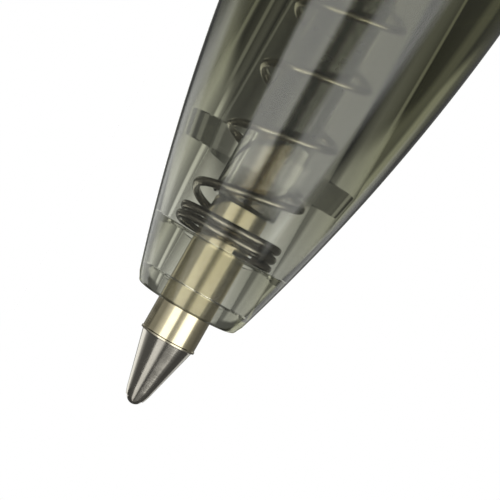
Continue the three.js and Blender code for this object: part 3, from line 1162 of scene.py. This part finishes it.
@dataclass
class WritingPoint:
    """The turned metal point with its rolling ball.

    Attributes:
        axis: The pen's axis.
        ball_diameter: Diameter of the ball.
        ball_exposed: How far the ball stands out of its socket.
        ball_clearance: Play of the ball.
        diameter: Diameter of the shank.
        reach: How far the ball reaches past the nose face.
        cone_length: Length from the rim to the ridge.
        cone_angle: Slope of the cone, in degrees.
        cone_step: How far the cone stands below the cylinder where they meet.
        rim_wall: Wall of the rim that is crimped round the ball.
        rim_roll: Length over which that rim curls in.
        rim_swell: How far the curl stands out of a straight line.
        collar_height: Height of the ridge between cone and cylinder.
        collar_width: Its width.
        shank_end: Where the tube begins.
        spigot_length: Length of the spigot in the tube.
        spigot_diameter: Its diameter.
        bore: Bore of the point.
        channel: Bore of the ink channel.
        channel_length: Its length.
        dry_length: Length of the spigot that the ink leaves dry.
        shank_cut: Width of the cut edge at the shank's end.
        spigot_cut: Width of the cut edge at the spigot's end.
    """

    axis: PenAxis
    ball_diameter: float = 0.7
    ball_exposed: float = 0.25
    ball_clearance: float = 0.02
    diameter: float = 2.3
    reach: float = 4.4
    cone_length: float = 2.69
    cone_angle: float = 14.4
    cone_step: float = 0.055
    rim_wall: float = 0.03
    rim_roll: float = 0.45
    rim_swell: float = 0.015
    collar_height: float = 0.035
    collar_width: float = 0.14
    shank_end: float = 4.93
    spigot_length: float = 3.1
    spigot_diameter: float = 1.7
    bore: float = 1.0
    channel: float = 0.4
    channel_length: float = 0.6
    dry_length: float = 0.15
    shank_cut: float = 0.08
    spigot_cut: float = 0.1

    def point(self) -> None:
        """Turns the point's body: crimped rim, cone, ridge, shank, spigot and bore."""
        ball = self.ball_diameter / 2
        centre = -self.reach + ball
        seat = ball + self.ball_clearance
        rim = -self.reach + self.ball_exposed
        rim_inner = math.sqrt(seat**2 - (rim - centre) ** 2)
        cone_end = rim + self.cone_length
        radius = self.diameter / 2
        ridge = radius + self.collar_height
        rim_outer = rim_inner + self.rim_wall
        top = (cone_end - self.collar_width / 2, radius - self.cone_step)
        roll_end = rim + self.rim_roll
        roll_radius = top[1] - (top[0] - roll_end) * math.tan(math.radians(self.cone_angle))
        outside: Profile = []
        steps = 6
        for i in range(steps + 1):
            t = i / steps
            lift = rim_outer + (roll_radius - rim_outer) * t
            outside.append((rim + self.rim_roll * t, lift + self.rim_swell * math.sin(math.pi * t)))
        spigot = self.spigot_diameter / 2
        spigot_end = self.shank_end + self.spigot_length
        outside += [
            top,
            (cone_end - self.collar_width / 4, ridge),
            (cone_end + self.collar_width / 4, ridge),
            (cone_end + self.collar_width / 2, radius),
            (self.shank_end - self.shank_cut, radius),
            (self.shank_end, radius - self.shank_cut),
            (self.shank_end, spigot),
            (spigot_end - self.spigot_cut, spigot),
            (spigot_end, spigot - self.spigot_cut),
        ]
        channel = self.channel / 2
        seat_end = centre + math.sqrt(seat**2 - channel**2)
        inside: Profile = [
            (spigot_end, self.bore / 2),
            (seat_end + self.channel_length, self.bore / 2),
            (seat_end + self.channel_length, channel),
        ]
        first = math.atan2(channel, seat_end - centre)
        last = math.atan2(rim_inner, rim - centre)
        inside += arc((centre, 0.0), seat, first, last, steps=15)
        finish = replace(
            NICKEL_SILVER,
            change_x=self.axis.nose_x + cone_end * MM,
            wet_x=self.axis.nose_x + (self.shank_end + self.dry_length) * MM,
        )
        made = link_mesh("writing_point_turned", turned_mesh(self.axis, outside + inside), finish)
        Piece(made, Body.REFILL, "writing_point", "nickel_silver").settle()

    def ball(self) -> None:
        """Turns the ball."""
        radius = self.ball_diameter / 2
        profile = arc((-self.reach + radius, 0.0), radius, math.pi, 0.0, steps=24)
        mesh = turned_mesh(self.axis, profile, BALL_FACETS)
        made = link_mesh("point_ball_lapped", mesh, CARBIDE)
        Piece(made, Body.BALL, "point_ball", "carbide").settle()


@dataclass
class Refill:
    """The clear tube with its pinched ears, the ink and the grease behind it.

    Attributes:
        axis: The pen's axis.
        start: Where the tube begins.
        end: Where it ends.
        diameter: Its diameter.
        wall: Its wall.
        ear_station: Where the ears begin.
        ear_length: Their length.
        ear_span: Distance over both ears.
        ear_thickness: Their thickness.
        ink_start: Where the ink begins in the tube.
        ink_length: Its length there.
        ink_front: Where the ink begins in the point.
        ink_core: Diameter of the ink in the point's bore.
        follower_length: Length of the grease.
        wetting: How far ink and grease are drawn into the tube's wall, so that they wet it.
        lip: Length over which the tube's front end is rounded.
        lip_drop: How far that rounding goes down, and the width of the cut at its back end.
        crease: Half the length over which an ear's faces rise.
        ear_foot: How far behind the ears the tube is plain again.
        ink_gap: Gap between the spigot's end and the wide ink.
        ink_round: How far the ink's front edge in the tube is rounded.
        hollow: Depth of the hollow in the grease.
    """

    axis: PenAxis
    start: float = WritingPoint.shank_end
    end: float = 102.6
    diameter: float = 2.8
    wall: float = 0.55
    ear_station: float = 24.0
    ear_length: float = 2.2
    ear_span: float = 4.2
    ear_thickness: float = 0.9
    ink_start: float = WritingPoint.shank_end + WritingPoint.spigot_length
    ink_length: float = 70.5
    ink_front: float = -3.06
    ink_core: float = 0.96
    follower_length: float = 6.0
    wetting: float = 0.012
    lip: float = 0.15
    lip_drop: float = 0.1
    crease: float = 0.001
    ear_foot: float = 0.2
    ink_gap: float = 0.02
    ink_round: float = 0.08
    hollow: float = 0.35

    def ear_radius(self, station: float, radius: float, angle: float) -> float:
        """Swells the tube's skin into two flat ears behind the spring.

        Args:
            station: Distance along the pen.
            radius: Radius of the plain tube there.
            angle: Turn about the axis.

        Returns:
            The radius of the skin.
        """
        if radius < self.diameter / 2 - TINY:
            return radius
        if not self.ear_station < station < self.ear_station + self.ear_length:
            return radius
        slope = self.ear_span / 2 - self.diameter / 2
        past = max(station - (self.ear_station + self.ear_length - slope), 0.0)
        height = self.ear_span / 2 - past
        flank = self.ear_thickness / 2 / max(abs(math.sin(angle)), TINY)
        edge = height / max(abs(math.cos(angle)), TINY)
        return max(radius, min(flank, edge))

    def tube(self) -> None:
        """Turns the tube and pinches its ears."""
        outer = self.diameter / 2
        bore = outer - self.wall
        ear_end = self.ear_station + self.ear_length
        slope = self.ear_span / 2 - outer
        # The front end is rounded by three points, and each face of the ears rises in a crease.
        outside = [
            (self.start, outer - self.lip_drop),
            (self.start + 0.4 * self.lip, outer - 0.3 * self.lip_drop),
            (self.start + self.lip, outer),
            (self.ear_station - self.crease, outer),
            (self.ear_station + self.crease, outer),
            (ear_end - slope, outer),
            (ear_end - slope / 2, outer),
            (ear_end - self.crease, outer),
            (ear_end + self.ear_foot, outer),
            (self.end - self.lip_drop, outer),
            (self.end, outer - self.lip_drop),
        ]
        inside = [(self.end, bore), (self.start, bore)]
        mesh = turned_mesh(self.axis, outside + inside, TUBE_FACETS, self.ear_radius)
        made = link_mesh("ink_tube_drawn", mesh, TUBE_PLASTIC)
        Piece(made, Body.REFILL, "ink_tube", "clear_plastic").settle()

    def ink(self) -> None:
        """Turns the ink: a thin core in the point and the column in the tube."""
        fill = self.diameter / 2 - self.wall + self.wetting
        core = self.ink_core / 2
        end = self.ink_start + self.ink_length
        profile = [
            (self.ink_front, 0.0),
            (self.ink_front, core),
            (self.ink_start + self.ink_gap, core),
            (self.ink_start + self.ink_gap, fill),
            (end, fill),
            (end, 0.0),
        ]
        mesh = turned_mesh(self.axis, rounded(profile, {3: self.ink_round}), FACETS)
        made = link_mesh("ink_column_wet", mesh, PASTE_INK)
        Piece(made, Body.REFILL, "ink_column", "ink").settle()

    def follower(self) -> None:
        """Turns the grease plug, hollowed at its free end by its own surface."""
        fill = self.diameter / 2 - self.wall + self.wetting
        start = self.ink_start + self.ink_length
        end = start + self.follower_length
        profile: Profile = [(start, 0.0), (start, fill)]
        steps = 8
        for i in range(steps + 1):
            t = i / steps
            profile.append((end - self.hollow * math.sin(math.pi / 2 * t), fill * (1 - t)))
        mesh = turned_mesh(self.axis, profile, FACETS)
        made = link_mesh("ink_follower_wet", mesh, FOLLOWER_GREASE)
        Piece(made, Body.REFILL, "ink_follower", "grease").settle()


@dataclass
class ReturnSpring:
    """The wire spring round the refill, closed at both ends and open between.

    Attributes:
        axis: The pen's axis.
        diameter: Outer diameter.
        wire: Diameter of the wire.
        seat: Distance from the shelf, or from the tube's ears, to the wire's middle there.
        closed_turns: Close turns at the front.
        end_turns: Close turns at the back.
        open_turns: Open turns between.
        closed_pitch: Pitch of the close turns.
        ease: Share of a turn over which the pitch changes.
        first_angle: Where the wire begins, in degrees round the pen.
        steps_per_turn: Points on each turn.
        sides: Sides of the wire.
        held_wires: Where the spring stops stretching, in wire widths before its last turn; not
            used.
    """

    axis: PenAxis
    diameter: float = 4.45
    wire: float = 0.35
    seat: float = 0.225
    closed_turns: float = 2.433
    end_turns: float = 2.0
    open_turns: float = 7.046
    closed_pitch: float = 0.41
    ease: float = 0.3
    first_angle: float = 281.4
    steps_per_turn: int = 40
    sides: int = 14
    held_wires: float = 3.0

    @property
    def first(self) -> float:
        """Station of the wire's middle at the shelf."""
        return Barrel.shelf_station + self.seat

    @property
    def last(self) -> float:
        """Station of the wire's middle at the tube's ears."""
        return Refill.ear_station - self.seat

    @property
    def total_turns(self) -> float:
        """All turns, close and open."""
        return self.closed_turns + self.open_turns + self.end_turns

    def inputs(self) -> dict[str, float]:
        """Gives the winding tree its inputs.

        Returns:
            Their names and values, lengths in metres and angles in radians.
        """
        run = self.last - self.first
        closed = self.closed_turns + self.end_turns
        return {
            "Wire diameter": self.wire * MM,
            "Mean radius": (self.diameter - self.wire) / 2 * MM,
            "Start x": self.axis.nose_x + self.first * MM,
            "Axis y": self.axis.y,
            "Axis z": self.axis.z,
            "Total turns": self.total_turns,
            "Closed turns": self.closed_turns,
            "Open turns": self.open_turns,
            "Closed pitch": self.closed_pitch * MM,
            "Open pitch": (run - closed * self.closed_pitch) / self.open_turns * MM,
            "First angle": math.radians(self.first_angle) + self.axis.roll,
            "Ease": self.ease,
        }

    def winding_tree(self) -> bpy.types.NodeTree:
        """Builds the node tree that winds the wire.

        Returns:
            The tree, whose inputs are named as inputs() names them.
        """
        tree = bpy.data.node_groups.new("spring_winding", "GeometryNodeTree")
        tree.interface.new_socket("Geometry", in_out="INPUT", socket_type="NodeSocketGeometry")
        for name, value in self.inputs().items():
            socket = tree.interface.new_socket(
                name, in_out="INPUT", socket_type="NodeSocketFloat"
            )
            socket.default_value = value
        tree.interface.new_socket("Geometry", in_out="OUTPUT", socket_type="NodeSocketGeometry")
        given = add_node(tree, "NodeGroupInput").outputs
        known = {socket.name: socket for socket in given}
        known["index"] = add_node(tree, "GeometryNodeInputIndex").outputs["Index"]
        count = int(self.total_turns * self.steps_per_turn) + 1
        # What each step is called, what it does and what it is fed: inputs, earlier steps, numbers.
        steps = (
            ("share", "DIVIDE", "index", count - 1.0),
            ("turn", "MULTIPLY", "share", "Total turns"),
            ("past", "SUBTRACT", "turn", "Closed turns"),
            ("eased", "SMOOTH_MAX", "past", 0.0, "Ease"),
            ("opened", "SMOOTH_MIN", "eased", "Open turns", "Ease"),
            ("closed", "SUBTRACT", "turn", "opened"),
            ("closed lead", "MULTIPLY", "closed", "Closed pitch"),
            ("open lead", "MULTIPLY", "opened", "Open pitch"),
            ("lead", "ADD", "closed lead", "open lead"),
            ("x", "ADD", "Start x", "lead"),
            ("whole angle", "MULTIPLY", "turn", 2 * math.pi),
            ("angle", "ADD", "whole angle", "First angle"),
            ("cosine", "COSINE", "angle"),
            ("across", "MULTIPLY", "Mean radius", "cosine"),
            ("y", "ADD", "Axis y", "across"),
            ("sine", "SINE", "angle"),
            ("rise", "MULTIPLY", "Mean radius", "sine"),
            ("z", "ADD", "Axis z", "rise"),
            ("wire radius", "DIVIDE", "Wire diameter", 2.0),
        )
        for name, operation, *fed in steps:
            values = {i: known.get(value, value) for i, value in enumerate(fed)}
            known[name] = add_node(tree, "ShaderNodeMath", values, operation=operation).outputs[0]
        line = add_node(tree, "GeometryNodeCurvePrimitiveLine")
        wound = add_node(
            tree,
            "GeometryNodeResampleCurve",
            {"Curve": line.outputs["Curve"], "Count": count},
        )
        place = add_node(
            tree, "ShaderNodeCombineXYZ", {"X": known["x"], "Y": known["y"], "Z": known["z"]}
        )
        set_place = add_node(
            tree,
            "GeometryNodeSetPosition",
            {"Geometry": wound.outputs["Curve"], "Position": place.outputs["Vector"]},
        )
        section = add_node(
            tree,
            "GeometryNodeCurvePrimitiveCircle",
            {"Resolution": self.sides, "Radius": known["wire radius"]},
        )
        swept = add_node(
            tree,
            "GeometryNodeCurveToMesh",
            {
                "Curve": set_place.outputs["Geometry"],
                "Profile Curve": section.outputs["Curve"],
                "Fill Caps": True,
            },
        )
        real = add_node(
            tree, "GeometryNodeRealizeInstances", {"Geometry": swept.outputs["Mesh"]}
        )
        coated = add_node(
            tree,
            "GeometryNodeSetMaterial",
            {"Geometry": real.outputs["Geometry"], "Material": SPRING_WIRE.material()},
        )
        add_node(tree, "NodeGroupOutput", {"Geometry": coated.outputs["Geometry"]})
        return tree

    def wind(self) -> None:
        """Winds the spring between the barrel's shelf and the refill's ears."""
        carrier = bpy.data.objects.new("winding", bpy.data.meshes.new("winding"))
        bpy.context.scene.collection.objects.link(carrier)
        tree = self.winding_tree()
        modifier = carrier.modifiers.new("winding", "NODES")
        modifier.node_group = tree
        values = self.inputs()
        for item in tree.interface.items_tree:
            if item.in_out == "INPUT" and item.name in values:
                modifier[item.identifier] = values[item.name]
        graph = bpy.context.evaluated_depsgraph_get()
        wound = bpy.data.meshes.new_from_object(carrier.evaluated_get(graph))
        carrier.modifiers.remove(modifier)
        bpy.data.objects.remove(carrier)
        mesh = bmesh.new()
        mesh.from_mesh(wound)
        bpy.data.meshes.remove(wound)
        bmesh.ops.recalc_face_normals(mesh, faces=mesh.faces)
        made = link_mesh("return_spring_wound", mesh, SPRING_WIRE)
        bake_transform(made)
        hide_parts("return_spring")
        LOG.info("%s stretches between housing and refill", made.name)


@dataclass
class ClickMechanism:
    """The push button, and the finishes of the sleeve, rotor and plunger.

    Attributes:
        axis: The pen's axis.
        stem_start: Where the button's skirt begins.
        button_end: The push face.
        diameter: The button's diameter.
        wall: Its wall.
        edge_round: Radius of its edge.
        crown_round: How far the corner under its push face is rounded.
        skirt_round: How far its skirt's edges are rounded.
        finishes: CAD node to the finish that it gets.
    """

    axis: PenAxis
    stem_start: float = 116.25
    button_end: float = 133.8
    diameter: float = 5.4
    wall: float = 0.55
    edge_round: float = 0.5
    crown_round: float = 0.2
    skirt_round: float = 0.08
    finishes: dict[str, Finish] = field(
        default_factory=lambda: {
            "cam_sleeve": BLACK_ACETAL,
            "plunger": BLACK_ACETAL,
            "rotor": WHITE_ACETAL,
        }
    )

    def button(self) -> None:
        """Draws the button's cap with a softly rounded edge round its flat push face."""
        radius = self.diameter / 2
        bore = radius - self.wall
        profile = [
            (self.button_end - self.wall, 0.0),
            (self.button_end - self.wall, bore),
            (self.stem_start, bore),
            (self.stem_start, radius),
            (self.button_end, radius),
            (self.button_end, 0.0),
        ]
        skirt = self.skirt_round
        rounds = {1: self.crown_round, 2: skirt, 3: skirt, 4: self.edge_round}
        mesh = turned_mesh(self.axis, rounded(profile, rounds, steps=8))
        made = link_mesh("push_button_plated", mesh, BRIGHT_PLATE)
        Piece(made, Body.PUSH_ROD, "push_button", "bright_trim").settle()

    def dress(self, nodes: dict[str, bpy.types.Object]) -> None:
        """Gives the CAD pieces of the mechanism their finishes.

        Args:
            nodes: The frame's CAD nodes.
        """
        for name, finish in self.finishes.items():
            slots = nodes[name].data.materials
            slots.clear()
            slots.append(finish.material())
            LOG.info("%s keeps its CAD form and gets %s", name, finish.name)


@dataclass(frozen=True)
class LightRing:
    """The lights and cards round the pen, as seen in one way along it.

    Attributes:
        begins: Where it takes over from the ring before, as the x part of a direction.
        stops: Degrees round the pen, from straight behind it and rising over it, with
            the brightness there.
    """

    begins: tuple[float, float]
    stops: tuple[tuple[float, float], ...]


@dataclass(frozen=True)
class Lamp:
    """A soft round lamp that hangs over the table and shines at the pen.

    Attributes:
        name: Its name.
        place: Where it hangs, in metres.
        size: Its width, in metres.
        power: Its power, in watts.
    """

    name: str
    place: tuple[float, float, float]
    size: float
    power: float


LAMPS = (
    Lamp("key", (0.1, 0.5, 0.9), size=0.8, power=14.0),
    Lamp("fill", (-0.5, -0.7, 0.7), size=0.9, power=7.0),
)

# Six rings from the nose's end to the tail's. On the camera's side each has a box below the
# pen's level, near -155 degrees, and one above it, near 140, with a dim gap between them. The
# walls over and under the pen are dim. The four rings in the middle have paler cards behind the
# pen, between -60 and 50 degrees, and the rings at both ends are dimmer all round.
RINGS = (
    LightRing(
        (-1.0, -1.0),
        (
            (-180.0, 0.2), (-172.0, 0.7), (-168.0, 1.1), (-142.0, 1.1), (-136.0, 0.15),
            (-90.0, 0.1), (-60.0, 0.12), (60.0, 0.1), (110.0, 0.12), (118.0, 0.3), (160.0, 0.3),
            (172.0, 0.12), (180.0, 0.15),
        ),
    ),
    LightRing(
        (-0.5, -0.46),
        (
            (-180.0, 0.35), (-174.0, 0.4), (-170.0, 3.6), (-141.0, 3.8), (-136.0, 0.2),
            (-90.0, 0.15), (-78.0, 0.3), (-66.0, 0.6), (-58.0, 1.6), (-30.0, 1.6), (-22.0, 0.3),
            (22.0, 0.15), (28.0, 0.8), (46.0, 0.8), (51.0, 0.1), (92.0, 0.1), (112.0, 0.3),
            (118.0, 1.8), (121.0, 3.4), (150.0, 3.4), (162.0, 2.8), (168.0, 0.4), (180.0, 0.3),
        ),
    ),
    LightRing(
        (-0.2, -0.1),
        (
            (-180.0, 0.45), (-174.0, 0.5), (-170.0, 2.0), (-141.0, 2.1), (-136.0, 1.0),
            (-122.0, 0.7), (-104.0, 0.3), (-80.0, 0.3), (-72.0, 0.1), (-42.0, 0.1), (-38.0, 0.25),
            (-28.0, 0.25), (-24.0, 0.12), (-12.0, 0.15), (-7.0, 1.2), (8.0, 1.2), (13.0, 0.15),
            (65.0, 0.12), (100.0, 0.25), (112.0, 0.5), (117.0, 2.4), (150.0, 2.5), (160.0, 2.1),
            (166.0, 0.7), (180.0, 0.45),
        ),
    ),
    LightRing(
        (0.03, 0.08),
        (
            (-180.0, 0.3), (-172.0, 0.5), (-166.0, 1.1), (-134.0, 1.4), (-126.0, 0.4),
            (-90.0, 0.2), (-80.0, 0.03), (-72.0, 0.05), (-64.0, 0.15), (-56.0, 0.13),
            (-50.0, 0.08), (-47.0, 0.3), (-42.0, 0.3), (-38.0, 0.1), (-20.0, 0.06), (-12.0, 0.1),
            (-4.0, 0.4), (4.0, 0.4), (9.0, 0.15), (30.0, 0.2), (45.0, 0.22), (60.0, 0.12),
            (71.0, 0.02), (100.0, 0.04), (118.0, 0.4), (124.0, 1.1), (160.0, 1.2), (170.0, 0.6),
            (180.0, 0.3),
        ),
    ),
    LightRing(
        (0.19, 0.22),
        (
            (-180.0, 0.3), (-172.0, 0.5), (-166.0, 1.1), (-134.0, 1.3), (-126.0, 0.5),
            (-90.0, 0.3), (-75.0, 0.2), (-62.0, 0.35), (-57.0, 0.8), (-51.0, 0.8), (-47.0, 0.25),
            (-30.0, 0.4), (-12.0, 0.65), (6.0, 0.6), (35.0, 0.45), (50.0, 0.45), (60.0, 0.2),
            (100.0, 0.15), (118.0, 0.4), (124.0, 1.1), (160.0, 1.2), (170.0, 0.6), (180.0, 0.3),
        ),
    ),
    LightRing(
        (0.36, 0.42),
        (
            (-180.0, 0.2), (-172.0, 0.4), (-134.0, 0.45), (-126.0, 0.12), (-90.0, 0.1),
            (-65.0, 0.15), (65.0, 0.12), (100.0, 0.1), (118.0, 0.3), (124.0, 0.4), (160.0, 0.4),
            (172.0, 0.2), (180.0, 0.2),
        ),
    ),
)


@dataclass
class Studio:
    """The table, the lamps, the surroundings that gloss and glass show, and the camera.

    Attributes:
        axis: The pen's axis.
        distance: Camera to pen, in millimetres.
        pixels_per_mm: Scale of the photograph at the nose.
        photo_size: Its side, in pixels.
        nose_pixel: Where the nose face's middle lies in it.
        axis_angle: Direction of the pen in it, in degrees from the right.
        tilt: How far the camera looks from the tail's side, in degrees.
        eye_height: Height of the camera over the table, in millimetres.
        table_radius: Radius of the table, in metres.
        peak: The greatest brightness of the light boxes.
        level: Brightness that lights matt surfaces from all round.
        warmth: Colour of the light.
    """

    axis: PenAxis
    distance: float = 150.0
    pixels_per_mm: float = 25.3
    photo_size: float = 500.0
    nose_pixel: tuple[float, float] = (186.1, 307.0)
    axis_angle: float = 60.33
    tilt: float = 3.8
    eye_height: float = 0.02
    table_radius: float = 4.0
    peak: float = 4.0
    level: float = 0.6
    warmth: str = "#fefff9"

    def build(self) -> None:
        """Sets up everything round the object."""
        self.table()
        self.lamps()
        self.surroundings()
        self.camera()
        view = bpy.context.scene.view_settings
        view.view_transform = "Standard"

    def table(self) -> None:
        """Lays the pale table under the pen."""
        mesh = bmesh.new()
        bmesh.ops.create_circle(mesh, cap_ends=True, segments=FACETS, radius=self.table_radius)
        made = link_mesh("table", mesh, PALE_TABLE)
        made.visible_glossy = False
        made.visible_transmission = False

    def lamps(self) -> None:
        """Hangs two soft lamps over the table; gloss shows the surroundings instead."""
        for lamp in LAMPS:
            data = bpy.data.lights.new(lamp.name, "AREA")
            data.shape = "DISK"
            data.size = lamp.size
            data.energy = lamp.power
            made = bpy.data.objects.new(lamp.name, data)
            made.location = lamp.place
            made.rotation_euler = Vector(lamp.place).to_track_quat("Z", "Y").to_euler()
            made.visible_camera = False
            made.visible_glossy = False
            made.visible_transmission = False
            bpy.context.scene.collection.objects.link(made)

    def surroundings(self) -> None:
        """Paints the studio that gloss and glass show, by direction round the pen."""
        world = bpy.data.worlds.new("studio")
        bpy.context.scene.world = world
        world.use_nodes = True
        tree = world.node_tree
        tree.nodes.clear()
        facing = add_node(tree, "ShaderNodeTexCoord").outputs["Generated"]
        parts = add_node(tree, "ShaderNodeSeparateXYZ", {"Vector": facing}).outputs
        back = add_node(tree, "ShaderNodeMath", {0: parts["Y"], 1: -1.0}, operation="MULTIPLY")
        turn = add_node(
            tree, "ShaderNodeMath", {0: parts["Z"], 1: back.outputs[0]}, operation="ARCTAN2"
        )
        share = add_node(
            tree,
            "ShaderNodeMapRange",
            {"Value": turn.outputs[0], "From Min": -math.pi, "From Max": math.pi},
        ).outputs["Result"]
        along = parts["X"]
        seen = self.ring(tree, share, RINGS[0])
        for ring in RINGS[1:]:
            taken = self.fade(tree, along, ring.begins)
            here = self.ring(tree, share, ring)
            seen = add_node(
                tree, "ShaderNodeMix", {MIX_SHARE: taken, NUMBER_A: seen, NUMBER_B: here}
            ).outputs[NUMBER_MIXED]
        boxes = add_node(
            tree,
            "ShaderNodeVectorMath",
            {0: linear(self.warmth)[:3], "Scale": seen},
            operation="SCALE",
        )
        path = add_node(tree, "ShaderNodeLightPath").outputs
        shown = add_node(
            tree,
            "ShaderNodeMath",
            {0: path["Is Glossy Ray"], 1: path["Is Transmission Ray"]},
            operation="MAXIMUM",
        )
        plain = add_node(
            tree,
            "ShaderNodeMix",
            {
                MIX_SHARE: shown.outputs[0],
                COLOUR_A: (self.level, self.level, self.level, 1.0),
                COLOUR_B: boxes.outputs["Vector"],
            },
            data_type="RGBA",
        )
        white = add_node(
            tree,
            "ShaderNodeMix",
            {
                MIX_SHARE: path["Is Camera Ray"],
                COLOUR_A: plain.outputs[COLOUR_MIXED],
                COLOUR_B: linear("#ffffff"),
            },
            data_type="RGBA",
        )
        light = add_node(tree, "ShaderNodeBackground", {"Color": white.outputs[COLOUR_MIXED]})
        add_node(tree, "ShaderNodeOutputWorld", {"Surface": light.outputs["Background"]})

    def ring(
        self, tree: bpy.types.NodeTree, share: bpy.types.NodeSocket, ring: LightRing
    ) -> bpy.types.NodeSocket:
        """Adds one ring of lights.

        Args:
            tree: The world's tree.
            share: Share of the turn round the pen.
            ring: The ring.

        Returns:
            The brightness in each direction.
        """
        ramp = add_node(tree, "ShaderNodeValToRGB", {"Fac": share})
        stops = ramp.color_ramp.elements
        while len(stops) > 1:
            stops.remove(stops[-1])
        for i, (degrees, brightness) in enumerate(ring.stops):
            place = degrees / 360 + 0.5
            stop = stops[0] if i == 0 else stops.new(place)
            stop.position = place
            stop.color = (*[brightness / self.peak] * 3, 1.0)
        return add_node(
            tree, "ShaderNodeMath", {0: ramp.outputs["Color"], 1: self.peak}, operation="MULTIPLY"
        ).outputs[0]

    def fade(
        self,
        tree: bpy.types.NodeTree,
        along: bpy.types.NodeSocket,
        span: tuple[float, float],
    ) -> bpy.types.NodeSocket:
        """Adds the soft change from one ring to the next.

        Args:
            tree: The world's tree.
            along: The x part of the direction.
            span: Where the change begins and ends.

        Returns:
            Share of the next ring.
        """
        return add_node(
            tree,
            "ShaderNodeMapRange",
            {"Value": along, "From Min": span[0], "From Max": span[1]},
            interpolation_type="SMOOTHSTEP",
        ).outputs["Result"]

    def camera(self) -> None:
        """Places the camera so that the nose and the axis lie as in the photograph."""
        half = self.photo_size / 2
        scale = MM / self.pixels_per_mm
        turn = math.radians(self.axis_angle)
        aside = (half - self.nose_pixel[0]) * scale
        above = (self.nose_pixel[1] - half) * scale
        target_height = self.axis.z + aside * math.sin(turn) - above * math.cos(turn)
        rise = math.asin((self.eye_height * MM - target_height) / (self.distance * MM))
        tilt = math.radians(self.tilt)
        back = Vector(
            (
                math.sin(tilt) * math.cos(rise),
                math.cos(tilt) * math.cos(rise),
                math.sin(rise),
            )
        )
        tailward = Vector((1.0, 0.0, 0.0))
        tailward = (tailward - back * tailward.dot(back)).normalized()
        across = tailward.cross(back)
        right = tailward * math.cos(turn) + across * math.sin(turn)
        up = tailward * math.sin(turn) - across * math.cos(turn)
        nose = Vector((self.axis.nose_x, self.axis.y, self.axis.z))
        target = nose + right * aside + up * above
        data = bpy.data.cameras.new("camera")
        data.lens = data.sensor_width / 2 * self.distance / (half / self.pixels_per_mm)
        made = bpy.data.objects.new("camera", data)
        bpy.context.scene.collection.objects.link(made)
        turned = Matrix((right, up, back)).transposed().to_4x4()
        made.matrix_world = Matrix.Translation(target + back * self.distance * MM) @ turned
        bpy.context.scene.camera = made


def main() -> None:
    """Builds the pen's pieces in order round the frame, then the studio."""
    logging.basicConfig(level=logging.INFO, format="%(name)s: %(message)s")
    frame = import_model()
    axis = PenAxis.from_frame(Clip.height, Clip.root_width)
    LOG.info("axis at y %.5f, z %.5f, roll %.3f", axis.y, axis.z, math.degrees(axis.roll))
    barrel = Barrel(axis)
    barrel.front()
    barrel.ring()
    barrel.rear()
    clip = Clip(axis)
    clip.clip()
    clip.collar()
    point = WritingPoint(axis)
    point.point()
    point.ball()
    refill = Refill(axis)
    refill.tube()
    refill.ink()
    refill.follower()
    ReturnSpring(axis).wind()
    mechanism = ClickMechanism(axis)
    mechanism.button()
    mechanism.dress(frame["nodes"])
    Studio(axis).build()


if __name__ == "__main__":
    main()
